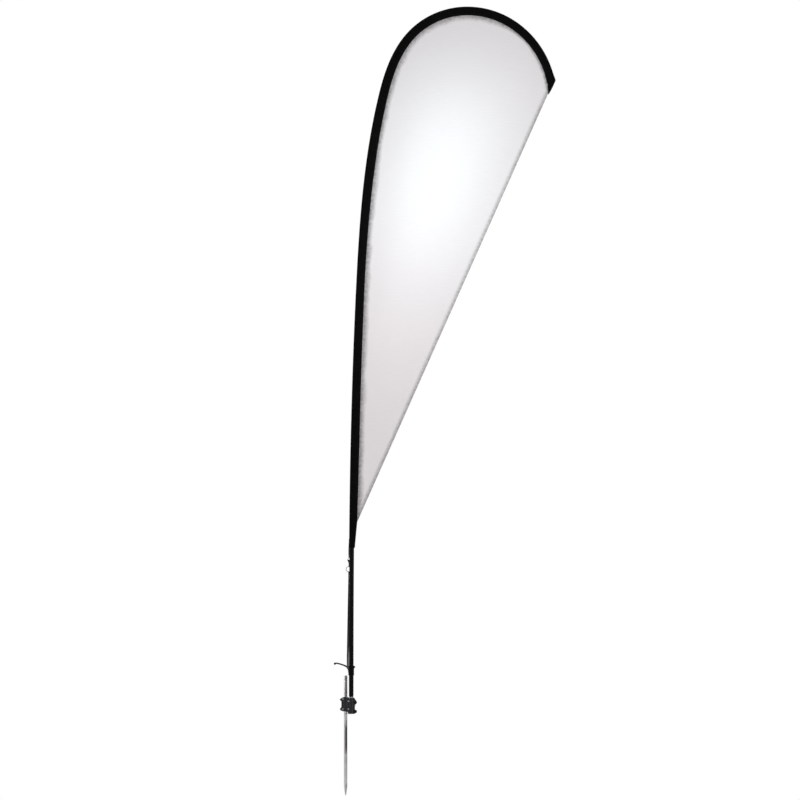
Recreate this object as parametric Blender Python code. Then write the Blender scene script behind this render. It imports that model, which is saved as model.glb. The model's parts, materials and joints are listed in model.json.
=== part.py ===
"""Teardrop flag on a ground stake.

A stake carries a bolted clamp.  The clamp holds a turning spindle, and a bent
sectional pole stands on the spindle.  The flag's black sleeve is drawn over
the pole, and a strap pulls the sleeve down to a hook on the pole's foot.

Frame: metres, +Z up, +X towards the flag, origin on the stake's axis at the
ground line.  The flag and the pole's bend lie in the plane Y = 0.
"""

import math

import bmesh
import bpy
from mathutils import Vector

MM = 0.001
GAP = 0.3 * MM                      # air between neighbouring pieces

# Stake
STAKE_RADIUS = 6.7 * MM
STAKE_TOP_Z = 166.0 * MM
STAKE_TIP_Z = -314.0 * MM
STAKE_POINT_LENGTH = 34.0 * MM

# Pole: places along it are distances from its foot, measured on its axis
POLE_X = 22.5 * MM
POLE_FOOT_Z = 81.0 * MM
POLE_BEND = (                       # distance in metres, bend in 1/metre
    (0.00, 0.007),
    (1.65, 0.050),
    (2.40, 0.439),
    (2.70, 3.257),
    (3.50, 2.520),
)
PATH_STEP = 2.0 * MM
LOWER_TUBE = (0.0032, 0.900, 9.25 * MM, 7.9 * MM)    # start, end, outer radius, bore radius
MIDDLE_TUBE = (0.9003, 1.800, 7.00 * MM, 5.0 * MM)
UPPER_TUBE = (1.8003, 2.600, 5.50 * MM, 3.7 * MM)
TIP_ROD_START = 2.520
TIP_ROD_END = 3.404
TIP_ROD_RADII = (3.4 * MM, 2.4 * MM)
FERRULE_HALF = 0.080                # how far a ferrule reaches into each tube

# Sleeve and flag
SLEEVE_START = 0.596
SLEEVE_END = 3.415
SLEEVE_WALL = 1.0 * MM
SLEEVE_POCKET = (                   # distance, radius of the pocket round the pole
    (0.55, 9.95 * MM),
    (0.95, 9.95 * MM),
    (1.85, 7.80 * MM),
    (2.65, 6.20 * MM),
    (3.50, 4.60 * MM),
)
SLEEVE_SEAM = (                     # distance, how far the flag's seam is from the pole's axis
    (0.60, 12.6 * MM),
    (0.70, 21.0 * MM),
    (1.00, 25.0 * MM),
    (1.70, 25.0 * MM),
    (2.15, 29.5 * MM),
    (3.50, 27.5 * MM),
)
SLEEVE_ANGLES = (15, 30, 45, 60, 82, 106, 130, 155)    # section points round the axis, degrees
SEAM_HALF_THICKNESS = 1.2 * MM
PATCH_OUTER_END = (3.437, -9.0 * MM)    # the sleeve's sewn point: distance, offset from the axis
PATCH_INNER_END = 3.492
PATCH_HALF_THICKNESS = 3.6 * MM
FLAG_FOOT = 0.700
FLAG_HEAD = 3.484
FLAG_HALF_THICKNESS = 0.6 * MM
FLAG_BELLY = 14.0 * MM              # how far the flag's middle stands forward

# Clamp
JAW_SPLIT = 0.4 * MM                # half the gap between the jaws
JAW_FLANGE = 8.5 * MM               # flange face to the split plane
STAKE_LOBE = (12.8 * MM, 22.5 * MM, 79.6 * MM)       # radius, bottom, top
SPINDLE_LOBE = (13.4 * MM, 12.0 * MM, 75.0 * MM)
JAW_OUTLINE = (                     # flange seen from the front, X and Z in millimetres
    (-6.0, 80.2), (-19.5, 74.8), (-23.4, 70.4), (-21.6, 66.0), (-17.0, 63.6),
    (-17.0, 39.6), (-20.8, 36.2), (-23.4, 31.2), (-20.6, 26.4), (-8.0, 22.0),
    (7.4, 22.0), (9.2, 14.6), (13.0, 12.0), (31.6, 12.0), (41.4, 15.2),
    (45.8, 19.6), (45.4, 26.0), (37.6, 29.6), (37.0, 41.4), (39.4, 44.2),
    (37.0, 47.4), (43.4, 53.4), (46.4, 58.0), (44.2, 62.6), (32.6, 79.4),
    (31.0, 75.0), (13.6, 75.0), (11.4, 79.6),
)
JAW_RIBS = (42.0 * MM, 53.0 * MM)   # undersides of the two ribs
JAW_RIB_HEIGHT = 3.2 * MM
JAW_RIB_FACE = 11.2 * MM            # rib face to the split plane
JAW_RIB_ENDS = (-16.4 * MM, 36.2 * MM)
BOLT_PLACES = (                     # X and Z in millimetres
    ("left_upper", -10.8, 72.6), ("left_lower", -10.8, 31.6),
    ("middle_upper", 11.2, 63.0), ("middle_lower", 11.2, 31.6),
    ("right_upper", 38.4, 57.4), ("right_lower", 38.4, 22.2),
)
BOLT_RADIUS = 2.4 * MM
BOLT_HEAD_RADIUS = 4.3 * MM
BOLT_HEAD_HEIGHT = 4.6 * MM
BOLT_HOLE_RADIUS = 2.75 * MM
SPOT_FACE_RADIUS = 5.3 * MM
NUT_HALF_WIDTH = 4.2 * MM
NUT_HEIGHT = 4.0 * MM
BUSH_RADIUS = 7.25 * MM
BUSH_BORE = 5.3 * MM
BUSH_SEAT_RADIUS = 7.6 * MM
SPINDLE_RADIUS = 5.0 * MM
SPINDLE_COLLAR = (6.8 * MM, 42.0 * MM, 47.0 * MM)    # radius, bottom, top
SPINDLE_FLANGE = (8.2 * MM, 77.5 * MM, 80.6 * MM)
SPINDLE_POST_RADIUS = 6.5 * MM
SPINDLE_TOP_Z = 232.0 * MM
POLE_BUSH_BORE = 6.8 * MM
POLE_BUSH_RADIUS = 7.6 * MM

# Tension hook and strap
HOOK_BOTTOM_Z = 167.0 * MM
HOOK_TOP_Z = 205.0 * MM
HOOK_BORE = 9.65 * MM
HOOK_RADIUS = 11.4 * MM
HORN_LINE = (                       # X, Z and radius in millimetres
    (12.4, 176.0, 2.0), (12.0, 188.0, 3.1), (8.2, 197.8, 3.4), (-2.0, 204.6, 3.2),
    (-19.0, 211.0, 3.0), (-37.0, 215.2, 2.8), (-42.6, 213.4, 2.8),
)
HORN_BALL = (-42.6, 213.4, 4.6)
STUB_BALL = (33.6, 200.0, 4.9)
SET_SCREW_Z = 181.0 * MM
TRIANGLE_RING = ((14.5, 642.0), (6.6, 626.6), (22.4, 626.6))   # X and Z of its corners, millimetres
RING_PLANE_Y = 12.9 * MM
TRIANGLE_WIRE = 1.1 * MM
TRIANGLE_CORNER = 2.6 * MM          # radius of its bends
TAB_OUTLINE = ((11.0, 642.2), (20.0, 642.2), (22.0, 712.0), (13.0, 712.0))    # X and Z, millimetres
LINK_BOTTOM = (13.4 * MM, 18.6 * MM)    # left and right edges of the link at the round ring
LINK_TOP = (8.5 * MM, 20.5 * MM)        # and at the triangle's bar
WEBBING_THICKNESS = 1.8 * MM
STRAP_RING_CENTRE = (13.0 * MM, 591.0 * MM)
STRAP_RING_RADIUS = 10.8 * MM
STRAP_RING_WIRE = 1.3 * MM
STRAP_WIDTH = 7.0 * MM
STRAP_THICKNESS = 1.4 * MM
STRAP_TOP = Vector((14.4 * MM, 12.9 * MM, 578.0 * MM))
STRAP_BOTTOM = Vector((8.0 * MM, 5.6 * MM, 209.5 * MM))

# Facets
ROUND = 24
POLE_SIDES = 14
STRAIGHT_STEP = 0.110               # station spacing where the pole is nearly straight
BENT_STEP = 0.036                   # and where it bends tightly


def make_material(name, colour, roughness, metallic=0.0):
    """A plain finish: base colour, roughness and metallic value."""
    material = bpy.data.materials.new(name)
    material.use_nodes = True
    shader = material.node_tree.nodes["Principled BSDF"]
    shader.inputs["Base Color"].default_value = (*colour, 1.0)
    shader.inputs["Roughness"].default_value = roughness
    shader.inputs["Metallic"].default_value = metallic
    return material


def clear_scene():
    for obj in list(bpy.data.objects):
        bpy.data.objects.remove(obj)


def add_body(name, location):
    """An empty on a moving body's joint axis; the body's pieces are parented to it."""
    empty = bpy.data.objects.new(name, None)
    empty.location = location
    bpy.context.scene.collection.objects.link(empty)
    return empty


def add_piece(name, bm, material, body, at=(0.0, 0.0, 0.0)):
    """Turn a bmesh into a smooth-shaded object whose world place is `at`."""
    mesh = bpy.data.meshes.new(name)
    bm.to_mesh(mesh)
    bm.free()
    mesh.shade_smooth()
    mesh.set_sharp_from_angle(angle=math.radians(35.0))
    mesh.materials.append(material)
    piece = bpy.data.objects.new(name, mesh)
    bpy.context.scene.collection.objects.link(piece)
    piece.parent = body
    piece.location = Vector(at) - body.location
    return piece


def combine(target, tool, operation):
    """Join a hidden tool to the target, or cut it away, with a Boolean modifier."""
    tool.hide_render = True
    tool.display_type = "WIRE"
    modifier = target.modifiers.new(tool.name, "BOOLEAN")
    modifier.object = tool
    modifier.operation = operation
    modifier.solver = "EXACT"


# Shapes

def skin(bm, rings, closed=False):
    """Quads between neighbouring rings of equal length."""
    pairs = list(zip(rings, rings[1:]))
    if closed:
        pairs.append((rings[-1], rings[0]))
    for low, high in pairs:
        count = len(low)
        for i in range(count):
            j = (i + 1) % count
            bm.faces.new((low[i], low[j], high[j], high[i]))


def loft(rings, bore_rings=None):
    """A solid through rings of points, with a bore open at both ends if one is given."""
    bm = bmesh.new()
    outer = [[bm.verts.new(point) for point in ring] for ring in rings]
    skin(bm, outer)
    if bore_rings is None:
        bm.faces.new(outer[0])
        bm.faces.new(outer[-1])
    else:
        bore = [[bm.verts.new(point) for point in ring] for ring in bore_rings]
        skin(bm, bore)
        skin(bm, [outer[0], bore[0]])
        skin(bm, [outer[-1], bore[-1]])
    bmesh.ops.recalc_face_normals(bm, faces=bm.faces)
    return bm


def turned(profile, sides=ROUND, closed=False):
    """Turn (radius, height) points about Z.  A closed profile is a loop round a wall."""
    bm = bmesh.new()
    rings = []
    for radius, height in profile:
        rings.append([
            bm.verts.new((
                radius * math.cos(math.tau * i / sides),
                radius * math.sin(math.tau * i / sides),
                height,
            ))
            for i in range(sides)
        ])
    skin(bm, rings, closed)
    if not closed:
        bm.faces.new(rings[0])
        bm.faces.new(rings[-1])
    bmesh.ops.recalc_face_normals(bm, faces=bm.faces)
    return bm


def prism(outline, direction, low, high):
    """Extrude an outline along Y or Z; its points are (X, Z) or (X, Y)."""
    def corner(point, level):
        if direction == "Y":
            return (point[0], level, point[1])
        return (point[0], point[1], level)
    return loft([[corner(p, low) for p in outline], [corner(p, high) for p in outline]])


def wire_loop(points, radius, sides=8):
    """A closed ring of round wire through points in a plane of constant Y."""
    count = len(points)
    rings = []
    for i, point in enumerate(points):
        ahead = (points[(i + 1) % count] - points[i - 1]).normalized()
        side = Vector((ahead.z, 0.0, -ahead.x))
        rings.append([
            point + side * radius * math.cos(math.tau * k / sides)
            + Vector((0.0, radius * math.sin(math.tau * k / sides), 0.0))
            for k in range(sides)
        ])
    bm = bmesh.new()
    skin(bm, [[bm.verts.new(p) for p in ring] for ring in rings], closed=True)
    bmesh.ops.recalc_face_normals(bm, faces=bm.faces)
    return bm


# The pole's line

def between(table, distance):
    """Read a table of (distance, value) with straight lines between its rows."""
    if distance <= table[0][0]:
        return table[0][1]
    for (s0, v0), (s1, v1) in zip(table, table[1:]):
        if distance <= s1:
            return v0 + (v1 - v0) * (distance - s0) / (s1 - s0)
    return table[-1][1]


def trace_pole():
    """Follow the bend from the foot: X, Z and lean from upright at each step."""
    x, z, lean = POLE_X, POLE_FOOT_Z, 0.0
    line = [(x, z, lean)]
    steps = round(POLE_BEND[-1][0] / PATH_STEP)
    for i in range(steps):
        half = lean + between(POLE_BEND, (i + 0.25) * PATH_STEP) * PATH_STEP / 2
        x += math.sin(half) * PATH_STEP
        z += math.cos(half) * PATH_STEP
        lean += between(POLE_BEND, (i + 0.5) * PATH_STEP) * PATH_STEP
        line.append((x, z, lean))
    return line


POLE_LINE = trace_pole()


def pole_frame(distance):
    """Point on the axis and the unit vector towards the flag, square to the axis."""
    place = min(max(distance / PATH_STEP, 0.0), len(POLE_LINE) - 1.001)
    index = int(place)
    part = place - index
    x, z, lean = (
        a + (b - a) * part for a, b in zip(POLE_LINE[index], POLE_LINE[index + 1])
    )
    return Vector((x, 0.0, z)), Vector((math.cos(lean), 0.0, -math.sin(lean)))


def offset_point(distance, inward, y=0.0):
    """A point beside the pole's axis."""
    centre, side = pole_frame(distance)
    return centre + side * inward + Vector((0.0, y, 0.0))


def pole_stations():
    """Stations shared by all that follows the pole, closer where it bends more."""
    stations = [0.0]
    while stations[-1] < POLE_BEND[-1][0]:
        tightness = min(between(POLE_BEND, stations[-1] + BENT_STEP) / 2.0, 1.0)
        step = STRAIGHT_STEP + (BENT_STEP - STRAIGHT_STEP) * tightness
        stations.append(stations[-1] + step)
    return stations


STATIONS = pole_stations()


def stations_between(start, end):
    inner = [s for s in STATIONS if start + 0.25 * BENT_STEP < s < end - 0.25 * BENT_STEP]
    return [start, *inner, end]


def pole_ring(distance, radius, sides=POLE_SIDES):
    centre, side = pole_frame(distance)
    return [
        centre + side * radius * math.cos(math.tau * i / sides)
        + Vector((0.0, radius * math.sin(math.tau * i / sides), 0.0))
        for i in range(sides)
    ]


def pole_tube(start, end, radius, bore):
    stations = stations_between(start, end)
    return loft([pole_ring(s, radius) for s in stations], [pole_ring(s, bore) for s in stations])


def pole_rod(profile):
    """A solid rod along the pole from (distance, radius) points."""
    return loft([pole_ring(s, radius) for s, radius in profile])


# Stake and clamp

def build_stake(body, plated):
    profile = (
        (1.0 * MM, STAKE_TIP_Z),
        (2.6 * MM, STAKE_TIP_Z + 5.0 * MM),
        (STAKE_RADIUS - 0.5 * MM, STAKE_TIP_Z + STAKE_POINT_LENGTH - 3.0 * MM),
        (STAKE_RADIUS, STAKE_TIP_Z + STAKE_POINT_LENGTH),
        (STAKE_RADIUS, STAKE_TOP_Z - 1.2 * MM),
        (STAKE_RADIUS - 1.0 * MM, STAKE_TOP_Z),
    )
    add_piece("ground_stake", turned(profile), plated, body)


def half_disc(centre_x, radius, front):
    """Outline of a half-round lobe against the split plane, in X and Y."""
    turn = -1.0 if front else 1.0
    start = math.asin(JAW_SPLIT / radius)
    points = []
    for i in range(ROUND // 2 + 1):
        angle = start + (math.pi - 2.0 * start) * i / (ROUND // 2)
        points.append((centre_x + radius * math.cos(angle), turn * radius * math.sin(angle)))
    return points


def build_jaw(name, body, material, front):
    turn = -1.0 if front else 1.0
    outline = [(x * MM, z * MM) for x, z in JAW_OUTLINE]
    inner, outer = sorted((turn * JAW_SPLIT, turn * JAW_FLANGE))
    jaw = add_piece(name, prism(outline, "Y", inner, outer), material, body)
    joined = (
        ("stake_lobe", prism(half_disc(0.0, STAKE_LOBE[0], front), "Z", *STAKE_LOBE[1:])),
        ("spindle_lobe", prism(half_disc(POLE_X, SPINDLE_LOBE[0], front), "Z", *SPINDLE_LOBE[1:])),
    )
    for label, bm in joined:
        combine(jaw, add_piece(f"{name}.{label}", bm, material, body), "UNION")
    left, right = JAW_RIB_ENDS
    for level in JAW_RIBS:
        low, high = sorted((turn * JAW_FLANGE / 2, turn * JAW_RIB_FACE))
        top = level + JAW_RIB_HEIGHT
        box = [(left, level), (right, level), (right, top), (left, top)]
        combine(jaw, add_piece(f"{name}.rib", prism(box, "Y", low, high), material, body), "UNION")
    bores = (
        ("stake_bore", 0.0, STAKE_RADIUS + 0.35 * MM, 0.0, 100.0 * MM),
        ("bush_bore", POLE_X, BUSH_SEAT_RADIUS, 15.2 * MM, 100.0 * MM),
    )
    for label, x, radius, low, high in bores:
        cutter = turned(((radius, low), (radius, high)))
        combine(jaw, add_piece(f"{name}.{label}", cutter, material, body, (x, 0.0, 0.0)), "DIFFERENCE")
    for label, x, z in BOLT_PLACES:
        near, far = sorted((turn * 20.0 * MM, 0.0))
        hole = turned(((BOLT_HOLE_RADIUS, near), (BOLT_HOLE_RADIUS, far)), 16)
        near, far = sorted((turn * 20.0 * MM, turn * JAW_FLANGE))
        spot = turned(((SPOT_FACE_RADIUS, near), (SPOT_FACE_RADIUS, far)), 20)
        for kind, bm in (("hole", hole), ("spot", spot)):
            cutter = add_piece(f"{name}.{kind}.{label}", bm, material, body, (x * MM, 0.0, z * MM))
            cutter.rotation_euler.x = -math.pi / 2
            combine(jaw, cutter, "DIFFERENCE")
    return jaw


def build_bolt(label, x, z, body, material):
    """Socket-head bolt along Y, head at the front, with its nut behind."""
    face = JAW_FLANGE + GAP
    head_end = face + BOLT_HEAD_HEIGHT
    profile = (
        (2.3 * MM, -head_end + 2.4 * MM),
        (2.3 * MM, -head_end),
        (BOLT_HEAD_RADIUS - 0.4 * MM, -head_end),
        (BOLT_HEAD_RADIUS, -head_end + 0.4 * MM),
        (BOLT_HEAD_RADIUS, -face),
        (BOLT_RADIUS, -face),
        (BOLT_RADIUS, face + NUT_HEIGHT + 1.2 * MM),
        (BOLT_RADIUS - 0.5 * MM, face + NUT_HEIGHT + 1.8 * MM),
    )
    bolt = add_piece(f"clamp_bolt_{label}", turned(profile, 16), material, body, (x, 0.0, z))
    bolt.rotation_euler.x = -math.pi / 2
    corners = []
    for i in range(12):
        reach = NUT_HALF_WIDTH / math.cos(math.pi / 6) if i % 2 == 0 else NUT_HALF_WIDTH
        corners.append((reach, math.tau * i / 12))
    rings = []
    bores = []
    for y in (face, face + NUT_HEIGHT):
        rings.append([(r * math.cos(a), y, r * math.sin(a)) for r, a in corners])
        bore = BOLT_RADIUS + GAP
        bores.append([(bore * math.cos(a), y, bore * math.sin(a)) for r, a in corners])
    add_piece(f"clamp_nut_{label}", loft(rings, bores), material, body, (x, 0.0, z))


def build_clamp(body, plastic, plated, blackened, nylon):
    build_jaw("clamp_front_jaw", body, plastic, front=True)
    build_jaw("clamp_rear_jaw", body, plastic, front=False)
    for label, x, z in BOLT_PLACES:
        finish = blackened if label.startswith("right") else plated
        build_bolt(label, x * MM, z * MM, body, finish)
    lower = (
        (BUSH_BORE, 15.6 * MM), (BUSH_RADIUS, 15.6 * MM),
        (BUSH_RADIUS, SPINDLE_COLLAR[1] - GAP), (BUSH_BORE, SPINDLE_COLLAR[1] - GAP),
    )
    flange_low = SPINDLE_LOBE[2] + GAP
    flange_high = SPINDLE_FLANGE[1] - GAP
    upper = (
        (BUSH_BORE, SPINDLE_COLLAR[2] + GAP), (BUSH_RADIUS, SPINDLE_COLLAR[2] + GAP),
        (BUSH_RADIUS, flange_low), (8.6 * MM, flange_low),
        (8.6 * MM, flange_high), (BUSH_BORE, flange_high),
    )
    place = (POLE_X, 0.0, 0.0)
    add_piece("spindle_lower_bush", turned(lower, closed=True), nylon, body, place)
    add_piece("spindle_upper_bush", turned(upper, closed=True), nylon, body, place)


def build_spindle(body, steel):
    collar, collar_low, collar_high = SPINDLE_COLLAR
    flange, flange_low, flange_high = SPINDLE_FLANGE
    profile = (
        (SPINDLE_RADIUS - 0.8 * MM, 15.9 * MM), (SPINDLE_RADIUS, 16.7 * MM),
        (SPINDLE_RADIUS, collar_low), (collar, collar_low), (collar, collar_high),
        (SPINDLE_RADIUS, collar_high), (SPINDLE_RADIUS, flange_low),
        (flange, flange_low), (flange, flange_high - 0.5 * MM),
        (flange - 0.5 * MM, flange_high), (SPINDLE_POST_RADIUS, flange_high),
        (SPINDLE_POST_RADIUS, SPINDLE_TOP_Z - 3.0 * MM),
        (SPINDLE_POST_RADIUS - 2.0 * MM, SPINDLE_TOP_Z),
    )
    add_piece("spindle", turned(profile), steel, body, (POLE_X, 0.0, 0.0))


# Pole, sleeve and flag

def build_pole(body, black, moulded):
    tube_radius = LOWER_TUBE[2]
    foot = POLE_FOOT_Z
    shoulder = foot + LOWER_TUBE[0] - GAP
    liner = (
        (POLE_BUSH_BORE, foot), (tube_radius - 1.6 * MM, foot), (tube_radius - 0.4 * MM, foot + 0.7 * MM),
        (tube_radius, foot + 1.8 * MM), (tube_radius, shoulder), (POLE_BUSH_RADIUS, shoulder),
        (POLE_BUSH_RADIUS, foot + 28.0 * MM), (POLE_BUSH_BORE, foot + 28.0 * MM),
    )
    guide = (
        (POLE_BUSH_BORE, foot + 124.0 * MM), (POLE_BUSH_RADIUS, foot + 124.0 * MM),
        (POLE_BUSH_RADIUS, foot + 146.0 * MM), (POLE_BUSH_BORE, foot + 146.0 * MM),
    )
    add_piece("pole_foot_bush", turned(liner, closed=True), moulded, body, (POLE_X, 0.0, 0.0))
    add_piece("pole_guide_bush", turned(guide, closed=True), moulded, body, (POLE_X, 0.0, 0.0))
    for name, tube in (
        ("pole_lower_tube", LOWER_TUBE), ("pole_middle_tube", MIDDLE_TUBE), ("pole_upper_tube", UPPER_TUBE),
    ):
        add_piece(name, pole_tube(*tube), black, body)
    for name, below, above in (
        ("lower_ferrule", LOWER_TUBE, MIDDLE_TUBE), ("middle_ferrule", MIDDLE_TUBE, UPPER_TUBE),
    ):
        joint = below[1]
        profile = [
            (joint - FERRULE_HALF, below[3] - GAP), (joint, below[3] - GAP),
            (joint, above[3] - GAP), (joint + FERRULE_HALF, above[3] - GAP),
        ]
        add_piece(name, pole_rod(profile), moulded, body)
    mouth = UPPER_TUBE[1]
    spigot = TIP_ROD_RADII[0] - 2 * GAP
    rod = [(s, spigot) for s in stations_between(TIP_ROD_START, mouth)]
    for s in stations_between(mouth + GAP, TIP_ROD_END):
        share = (s - mouth) / (TIP_ROD_END - mouth)
        rod.append((s, TIP_ROD_RADII[0] + (TIP_ROD_RADII[1] - TIP_ROD_RADII[0]) * share))
    add_piece("pole_tip_rod", pole_rod(rod), black, body)
    start = TIP_ROD_END - 0.020
    end = TIP_ROD_END + 0.007
    cap_outer = [pole_ring(s, r) for s, r in (
        (start, 3.6 * MM), (TIP_ROD_END, 3.8 * MM), (end - 0.002, 3.4 * MM), (end, 2.0 * MM),
    )]
    cap_bore = [pole_ring(s, r) for s, r in (
        (start, 2.75 * MM), (TIP_ROD_END - 0.010, 2.75 * MM), (TIP_ROD_END + GAP, 2.75 * MM),
        (TIP_ROD_END + 2 * GAP, 1.2 * MM),
    )]
    add_piece("pole_tip_cap", blind_tube(cap_outer, cap_bore), moulded, body)


def blind_tube(outer_rings, bore_rings):
    """A cap: open at its first ring and closed at its last."""
    bm = bmesh.new()
    outer = [[bm.verts.new(point) for point in ring] for ring in outer_rings]
    bore = [[bm.verts.new(point) for point in ring] for ring in bore_rings]
    skin(bm, outer)
    skin(bm, bore)
    skin(bm, [outer[0], bore[0]])
    bm.faces.new(outer[-1])
    bm.faces.new(bore[-1])
    bmesh.ops.recalc_face_normals(bm, faces=bm.faces)
    return bm


def sleeve_ring(distance, radius, reach, half_edge):
    """Section of the sleeve: round behind the pole, drawn to a thin edge at the seam."""
    length = math.hypot(reach, half_edge)
    touch = math.acos(min(radius / length, 1.0)) + math.atan2(half_edge, reach)
    half = []
    for degrees in SLEEVE_ANGLES:
        angle = math.radians(degrees)
        spread = radius / math.cos(touch - angle) if angle < touch else radius
        half.append((spread * math.cos(angle), spread * math.sin(angle)))
    section = [(reach, half_edge), *half, (-radius, 0.0)]
    section += [(x, -y) for x, y in reversed(half)]
    section.append((reach, -half_edge))
    return [offset_point(distance, x, y) for x, y in section]


def build_sleeve(body, fabric):
    outer = []
    pocket = []
    for s in stations_between(SLEEVE_START, SLEEVE_END):
        radius = between(SLEEVE_POCKET, s)
        seam = between(SLEEVE_SEAM, s)
        outer.append(sleeve_ring(s, radius + SLEEVE_WALL, seam, SEAM_HALF_THICKNESS))
        depth = max(radius + 0.6 * MM, seam - 7.0 * MM)
        pocket.append(sleeve_ring(s, radius, depth, 0.4 * MM))
    add_piece("pole_sleeve", loft(outer, pocket), fabric, body)


def build_sleeve_point(body, fabric):
    """The folded and sewn end of the sleeve, cut at a slant to a point."""
    start = SLEEVE_END + GAP
    seam = between(SLEEVE_SEAM, start)
    back = between(SLEEVE_POCKET, start) + SLEEVE_WALL
    steps = 6
    outline = [(start, -back), PATCH_OUTER_END]
    outline += [(PATCH_INNER_END - (PATCH_INNER_END - start) * k / steps, seam) for k in range(steps + 1)]
    rings = [
        [offset_point(s, n, y) for s, n in outline]
        for y in (-PATCH_HALF_THICKNESS, PATCH_HALF_THICKNESS)
    ]
    add_piece("sleeve_point", loft(rings), fabric, body)


def flag_point(along, across, y):
    """A point of the flag: `along` from foot to head, `across` from seam to free edge."""
    s = FLAG_FOOT + (FLAG_HEAD - FLAG_FOOT) * along
    seam = offset_point(s, between(SLEEVE_SEAM, s) + GAP)
    foot = offset_point(FLAG_FOOT, between(SLEEVE_SEAM, FLAG_FOOT) + GAP)
    head = offset_point(FLAG_HEAD, between(SLEEVE_SEAM, FLAG_HEAD) + GAP)
    edge = foot.lerp(head, along)
    belly = FLAG_BELLY * math.sin(math.pi * across) * math.sin(math.pi * along) ** 0.8
    return seam.lerp(edge, across) + Vector((0.0, y - belly, 0.0))


def build_flag(body, fabric):
    """The panel between the sleeve's seam and the straight free edge."""
    columns = 8
    margin = 0.004
    stations = stations_between(FLAG_FOOT, FLAG_HEAD)
    rings = []
    for s in stations:
        along = (s - FLAG_FOOT) / (FLAG_HEAD - FLAG_FOOT)
        along = min(max(along, margin), 1.0 - margin)
        front = [flag_point(along, c / columns, -FLAG_HALF_THICKNESS) for c in range(columns + 1)]
        rear = [flag_point(along, c / columns, FLAG_HALF_THICKNESS) for c in range(columns + 1)]
        rings.append(front + rear[::-1])
    add_piece("flag_panel", loft(rings), fabric, body)


# Tensioning parts

def rounded_triangle(corners, radius, steps=4):
    """Points round a triangle in the plane of the rings, its corners as arcs."""
    points = []
    for i, corner in enumerate(corners):
        before = (corners[i - 1] - corner).normalized()
        after = (corners[(i + 1) % 3] - corner).normalized()
        half = before.angle(after) / 2
        centre = corner + (before + after).normalized() * radius / math.sin(half)
        first = (corner + before * radius / math.tan(half) - centre).normalized()
        last = (corner + after * radius / math.tan(half) - centre).normalized()
        for k in range(steps + 1):
            points.append(centre + first.slerp(last, k / steps) * radius)
    return points


def build_rings(body, webbing, wire):
    low_edge = STRAP_RING_CENTRE[1] + STRAP_RING_RADIUS + STRAP_RING_WIRE + GAP
    corners = [Vector((x * MM, RING_PLANE_Y, z * MM)) for x, z in TRIANGLE_RING]
    triangle = wire_loop(rounded_triangle(corners, TRIANGLE_CORNER), TRIANGLE_WIRE)
    add_piece("triangle_ring", triangle, wire, body)
    centre = Vector((STRAP_RING_CENTRE[0], RING_PLANE_Y, STRAP_RING_CENTRE[1]))
    circle = [
        centre + Vector((math.cos(a), 0.0, math.sin(a))) * STRAP_RING_RADIUS
        for a in (math.tau * i / ROUND for i in range(ROUND))
    ]
    add_piece("strap_ring", wire_loop(circle, STRAP_RING_WIRE), wire, body)
    front = RING_PLANE_Y - WEBBING_THICKNESS / 2
    rear = RING_PLANE_Y + WEBBING_THICKNESS / 2
    tab = [(x * MM, z * MM) for x, z in TAB_OUTLINE]
    add_piece("sleeve_tab", prism(tab, "Y", front, rear), webbing, body)
    link_top = corners[1].z - TRIANGLE_WIRE - GAP
    link = [
        (LINK_BOTTOM[0], low_edge), (LINK_BOTTOM[1], low_edge),
        (LINK_TOP[1], link_top), (LINK_TOP[0], link_top),
    ]
    add_piece("webbing_link", prism(link, "Y", front, rear), webbing, body)


def build_strap(body, elastic):
    rings = []
    for point in (STRAP_BOTTOM, STRAP_TOP):
        rings.append([
            point + Vector((x * STRAP_WIDTH / 2, y * STRAP_THICKNESS / 2, 0.0))
            for x, y in ((-1, -1), (1, -1), (1, 1), (-1, 1))
        ])
    add_piece("tension_strap", loft(rings), elastic, body)


def horn_tube():
    """The long horn: a tapering round bar through its line, eased by a Bezier chain."""
    points = [Vector((x * MM, 0.0, z * MM)) for x, z, _ in HORN_LINE]
    radii = [r * MM for _, _, r in HORN_LINE]
    rings = []
    steps = 3
    for i in range(len(points) - 1):
        before = points[max(i - 1, 0)]
        after = points[min(i + 2, len(points) - 1)]
        for k in range(steps):
            t = k / steps
            radius = radii[i] + (radii[i + 1] - radii[i]) * t
            rings.append(horn_ring(before, points[i], points[i + 1], after, t, radius))
    rings.append(horn_ring(points[-3], points[-2], points[-1], points[-1], 1.0, radii[-1]))
    return loft(rings)


def horn_ring(before, start, end, after, t, radius):
    """Ring square to a smooth curve that passes through start and end."""
    leave = (end - before) / 2
    arrive = (after - start) / 2
    place = (
        start * (2 * t**3 - 3 * t**2 + 1) + leave * (t**3 - 2 * t**2 + t)
        + end * (3 * t**2 - 2 * t**3) + arrive * (t**3 - t**2)
    )
    ahead = (
        start * (6 * t**2 - 6 * t) + leave * (3 * t**2 - 4 * t + 1)
        + end * (6 * t - 6 * t**2) + arrive * (3 * t**2 - 2 * t)
    ).normalized()
    side = Vector((ahead.z, 0.0, -ahead.x))
    return [
        place + side * radius * math.cos(math.tau * i / 10)
        + Vector((0.0, radius * math.sin(math.tau * i / 10), 0.0))
        for i in range(10)
    ]


def ball(radius, sides=12, steps=8):
    profile = [
        (max(radius * math.sin(math.pi * i / steps), 0.2 * MM), -radius * math.cos(math.pi * i / steps))
        for i in range(steps + 1)
    ]
    return turned(profile, sides)


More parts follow.
